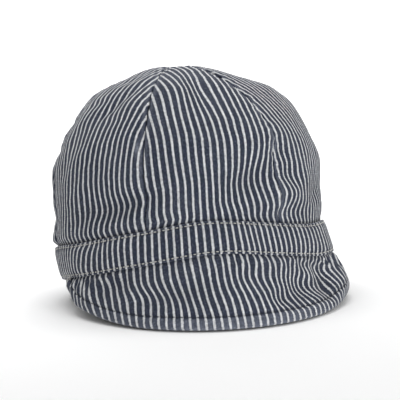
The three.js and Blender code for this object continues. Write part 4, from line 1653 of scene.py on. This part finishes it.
def make_camera():
    """The camera at the photograph's viewpoint."""
    right, up, back = view_axes()
    place = VIEW_AIM + back * VIEW_DISTANCE
    target = VIEW_AIM + right * VIEW_ASIDE - up * VIEW_BELOW
    backward = (place - target) / np.linalg.norm(place - target)
    right = right - backward * right.dot(backward)
    right = right / np.linalg.norm(right)
    up = np.cross(backward, right)
    data = bpy.data.cameras.new("photograph_view")
    data.lens = LENS
    data.sensor_width = SENSOR
    data.clip_start = 0.05
    data.clip_end = 20
    camera = bpy.data.objects.new("photograph_view", data)
    bpy.context.scene.collection.objects.link(camera)
    turned = Matrix([right.tolist(), up.tolist(), backward.tolist()]).transposed().to_4x4()
    camera.matrix_world = Matrix.Translation(Vector((place * MM).tolist())) @ turned
    bpy.context.scene.camera = camera


def make_light(name, lamp, power):
    """A soft square light."""
    data = bpy.data.lights.new(name, "AREA")
    data.shape = "SQUARE"
    data.size = lamp.size
    data.energy = power
    light = bpy.data.objects.new(name, data)
    bpy.context.scene.collection.objects.link(light)
    light.location = lamp.place
    way = Vector(lamp.target) - Vector(lamp.place)
    light.rotation_euler = way.to_track_quat("-Z", "Y").to_euler()


def make_floor(colour):
    """A pale floor that sweeps up behind the cap."""
    steps = np.linspace(0, math.pi / 2, 25)
    sweep = FLOOR_BACK - SWEEP_RADIUS + SWEEP_RADIUS * np.sin(steps)
    y = np.concatenate([[-FLOOR_BACK], sweep, [FLOOR_BACK]])
    z = np.concatenate([[0.0], SWEEP_RADIUS * (1 - np.cos(steps)), [SWEEP_HEIGHT]])
    left = np.stack([np.full_like(y, -FLOOR_HALF), y, z], axis=-1)
    right = left * np.array([-1.0, 1.0, 1.0])
    points = np.concatenate([left, right])
    count = len(y)
    faces = [[i, i + count, i + count + 1, i + 1] for i in range(count - 1)]
    mesh = bpy.data.meshes.new("floor")
    mesh.from_pydata(points.tolist(), [], faces)
    mesh.update()
    mesh.shade_smooth()
    floor = bpy.data.objects.new("floor", mesh)
    bpy.context.scene.collection.objects.link(floor)
    mesh.materials.append(plain_finish("floor paper", colour, 0.9))


class CAP_OT_stage(bpy.types.Operator):
    """Make the floor, the lights and the camera"""

    bl_idname = "cap.stage"
    bl_label = "Stage"

    def execute(self, context):
        settings = context.scene.cap_stage
        make_camera()
        make_floor(tuple(settings.floor))
        make_light("key", KEY_LAMP, settings.key_power)
        make_light("paper", PAPER_LAMP, settings.paper_power)
        world = bpy.data.worlds.new("studio")
        context.scene.world = world
        world.use_nodes = True
        sky = world.node_tree.nodes["Background"]
        sky.inputs["Color"].default_value = (1, 1, 1, 1)
        sky.inputs["Strength"].default_value = settings.sky
        context.scene.view_settings.view_transform = "Standard"
        return {"FINISHED"}


class CAP_PT_panel(bpy.types.Panel):
    """The cap's makers and settings in the sidebar."""

    bl_label = "Striped Work Cap"
    bl_idname = "CAP_PT_panel"
    bl_space_type = "VIEW_3D"
    bl_region_type = "UI"
    bl_category = "Cap"

    def draw(self, context):
        layout = self.layout
        for operator in OPERATORS:
            layout.operator(operator.bl_idname)
        for name in SETTINGS:
            group = getattr(context.scene, name)
            box = layout.box()
            for key in type(group).__annotations__:
                box.prop(group, key)


OPERATORS = (CAP_OT_gores, CAP_OT_band, CAP_OT_peak, CAP_OT_stitching, CAP_OT_stage)
SETTINGS = {
    "cap_cloth": CapClothSettings,
    "cap_threads": CapThreadSettings,
    "cap_stage": CapStageSettings,
}
CLASSES = (*SETTINGS.values(), *OPERATORS, CAP_PT_panel)


def register():
    """Adds the cap's classes and settings."""
    for item in CLASSES:
        bpy.utils.register_class(item)
    for name, group in SETTINGS.items():
        setattr(bpy.types.Scene, name, bpy.props.PointerProperty(type=group))


def unregister():
    """Takes the cap's classes and settings away."""
    for name in SETTINGS:
        delattr(bpy.types.Scene, name)
    for item in reversed(CLASSES):
        bpy.utils.unregister_class(item)


def main():
    """Makes the whole cap and its stage."""
    register()
    bpy.ops.cap.stage()
    bpy.ops.cap.gores()
    bpy.ops.cap.band()
    bpy.ops.cap.peak()
    bpy.ops.cap.stitching()


if __name__ == "__main__":
    main()
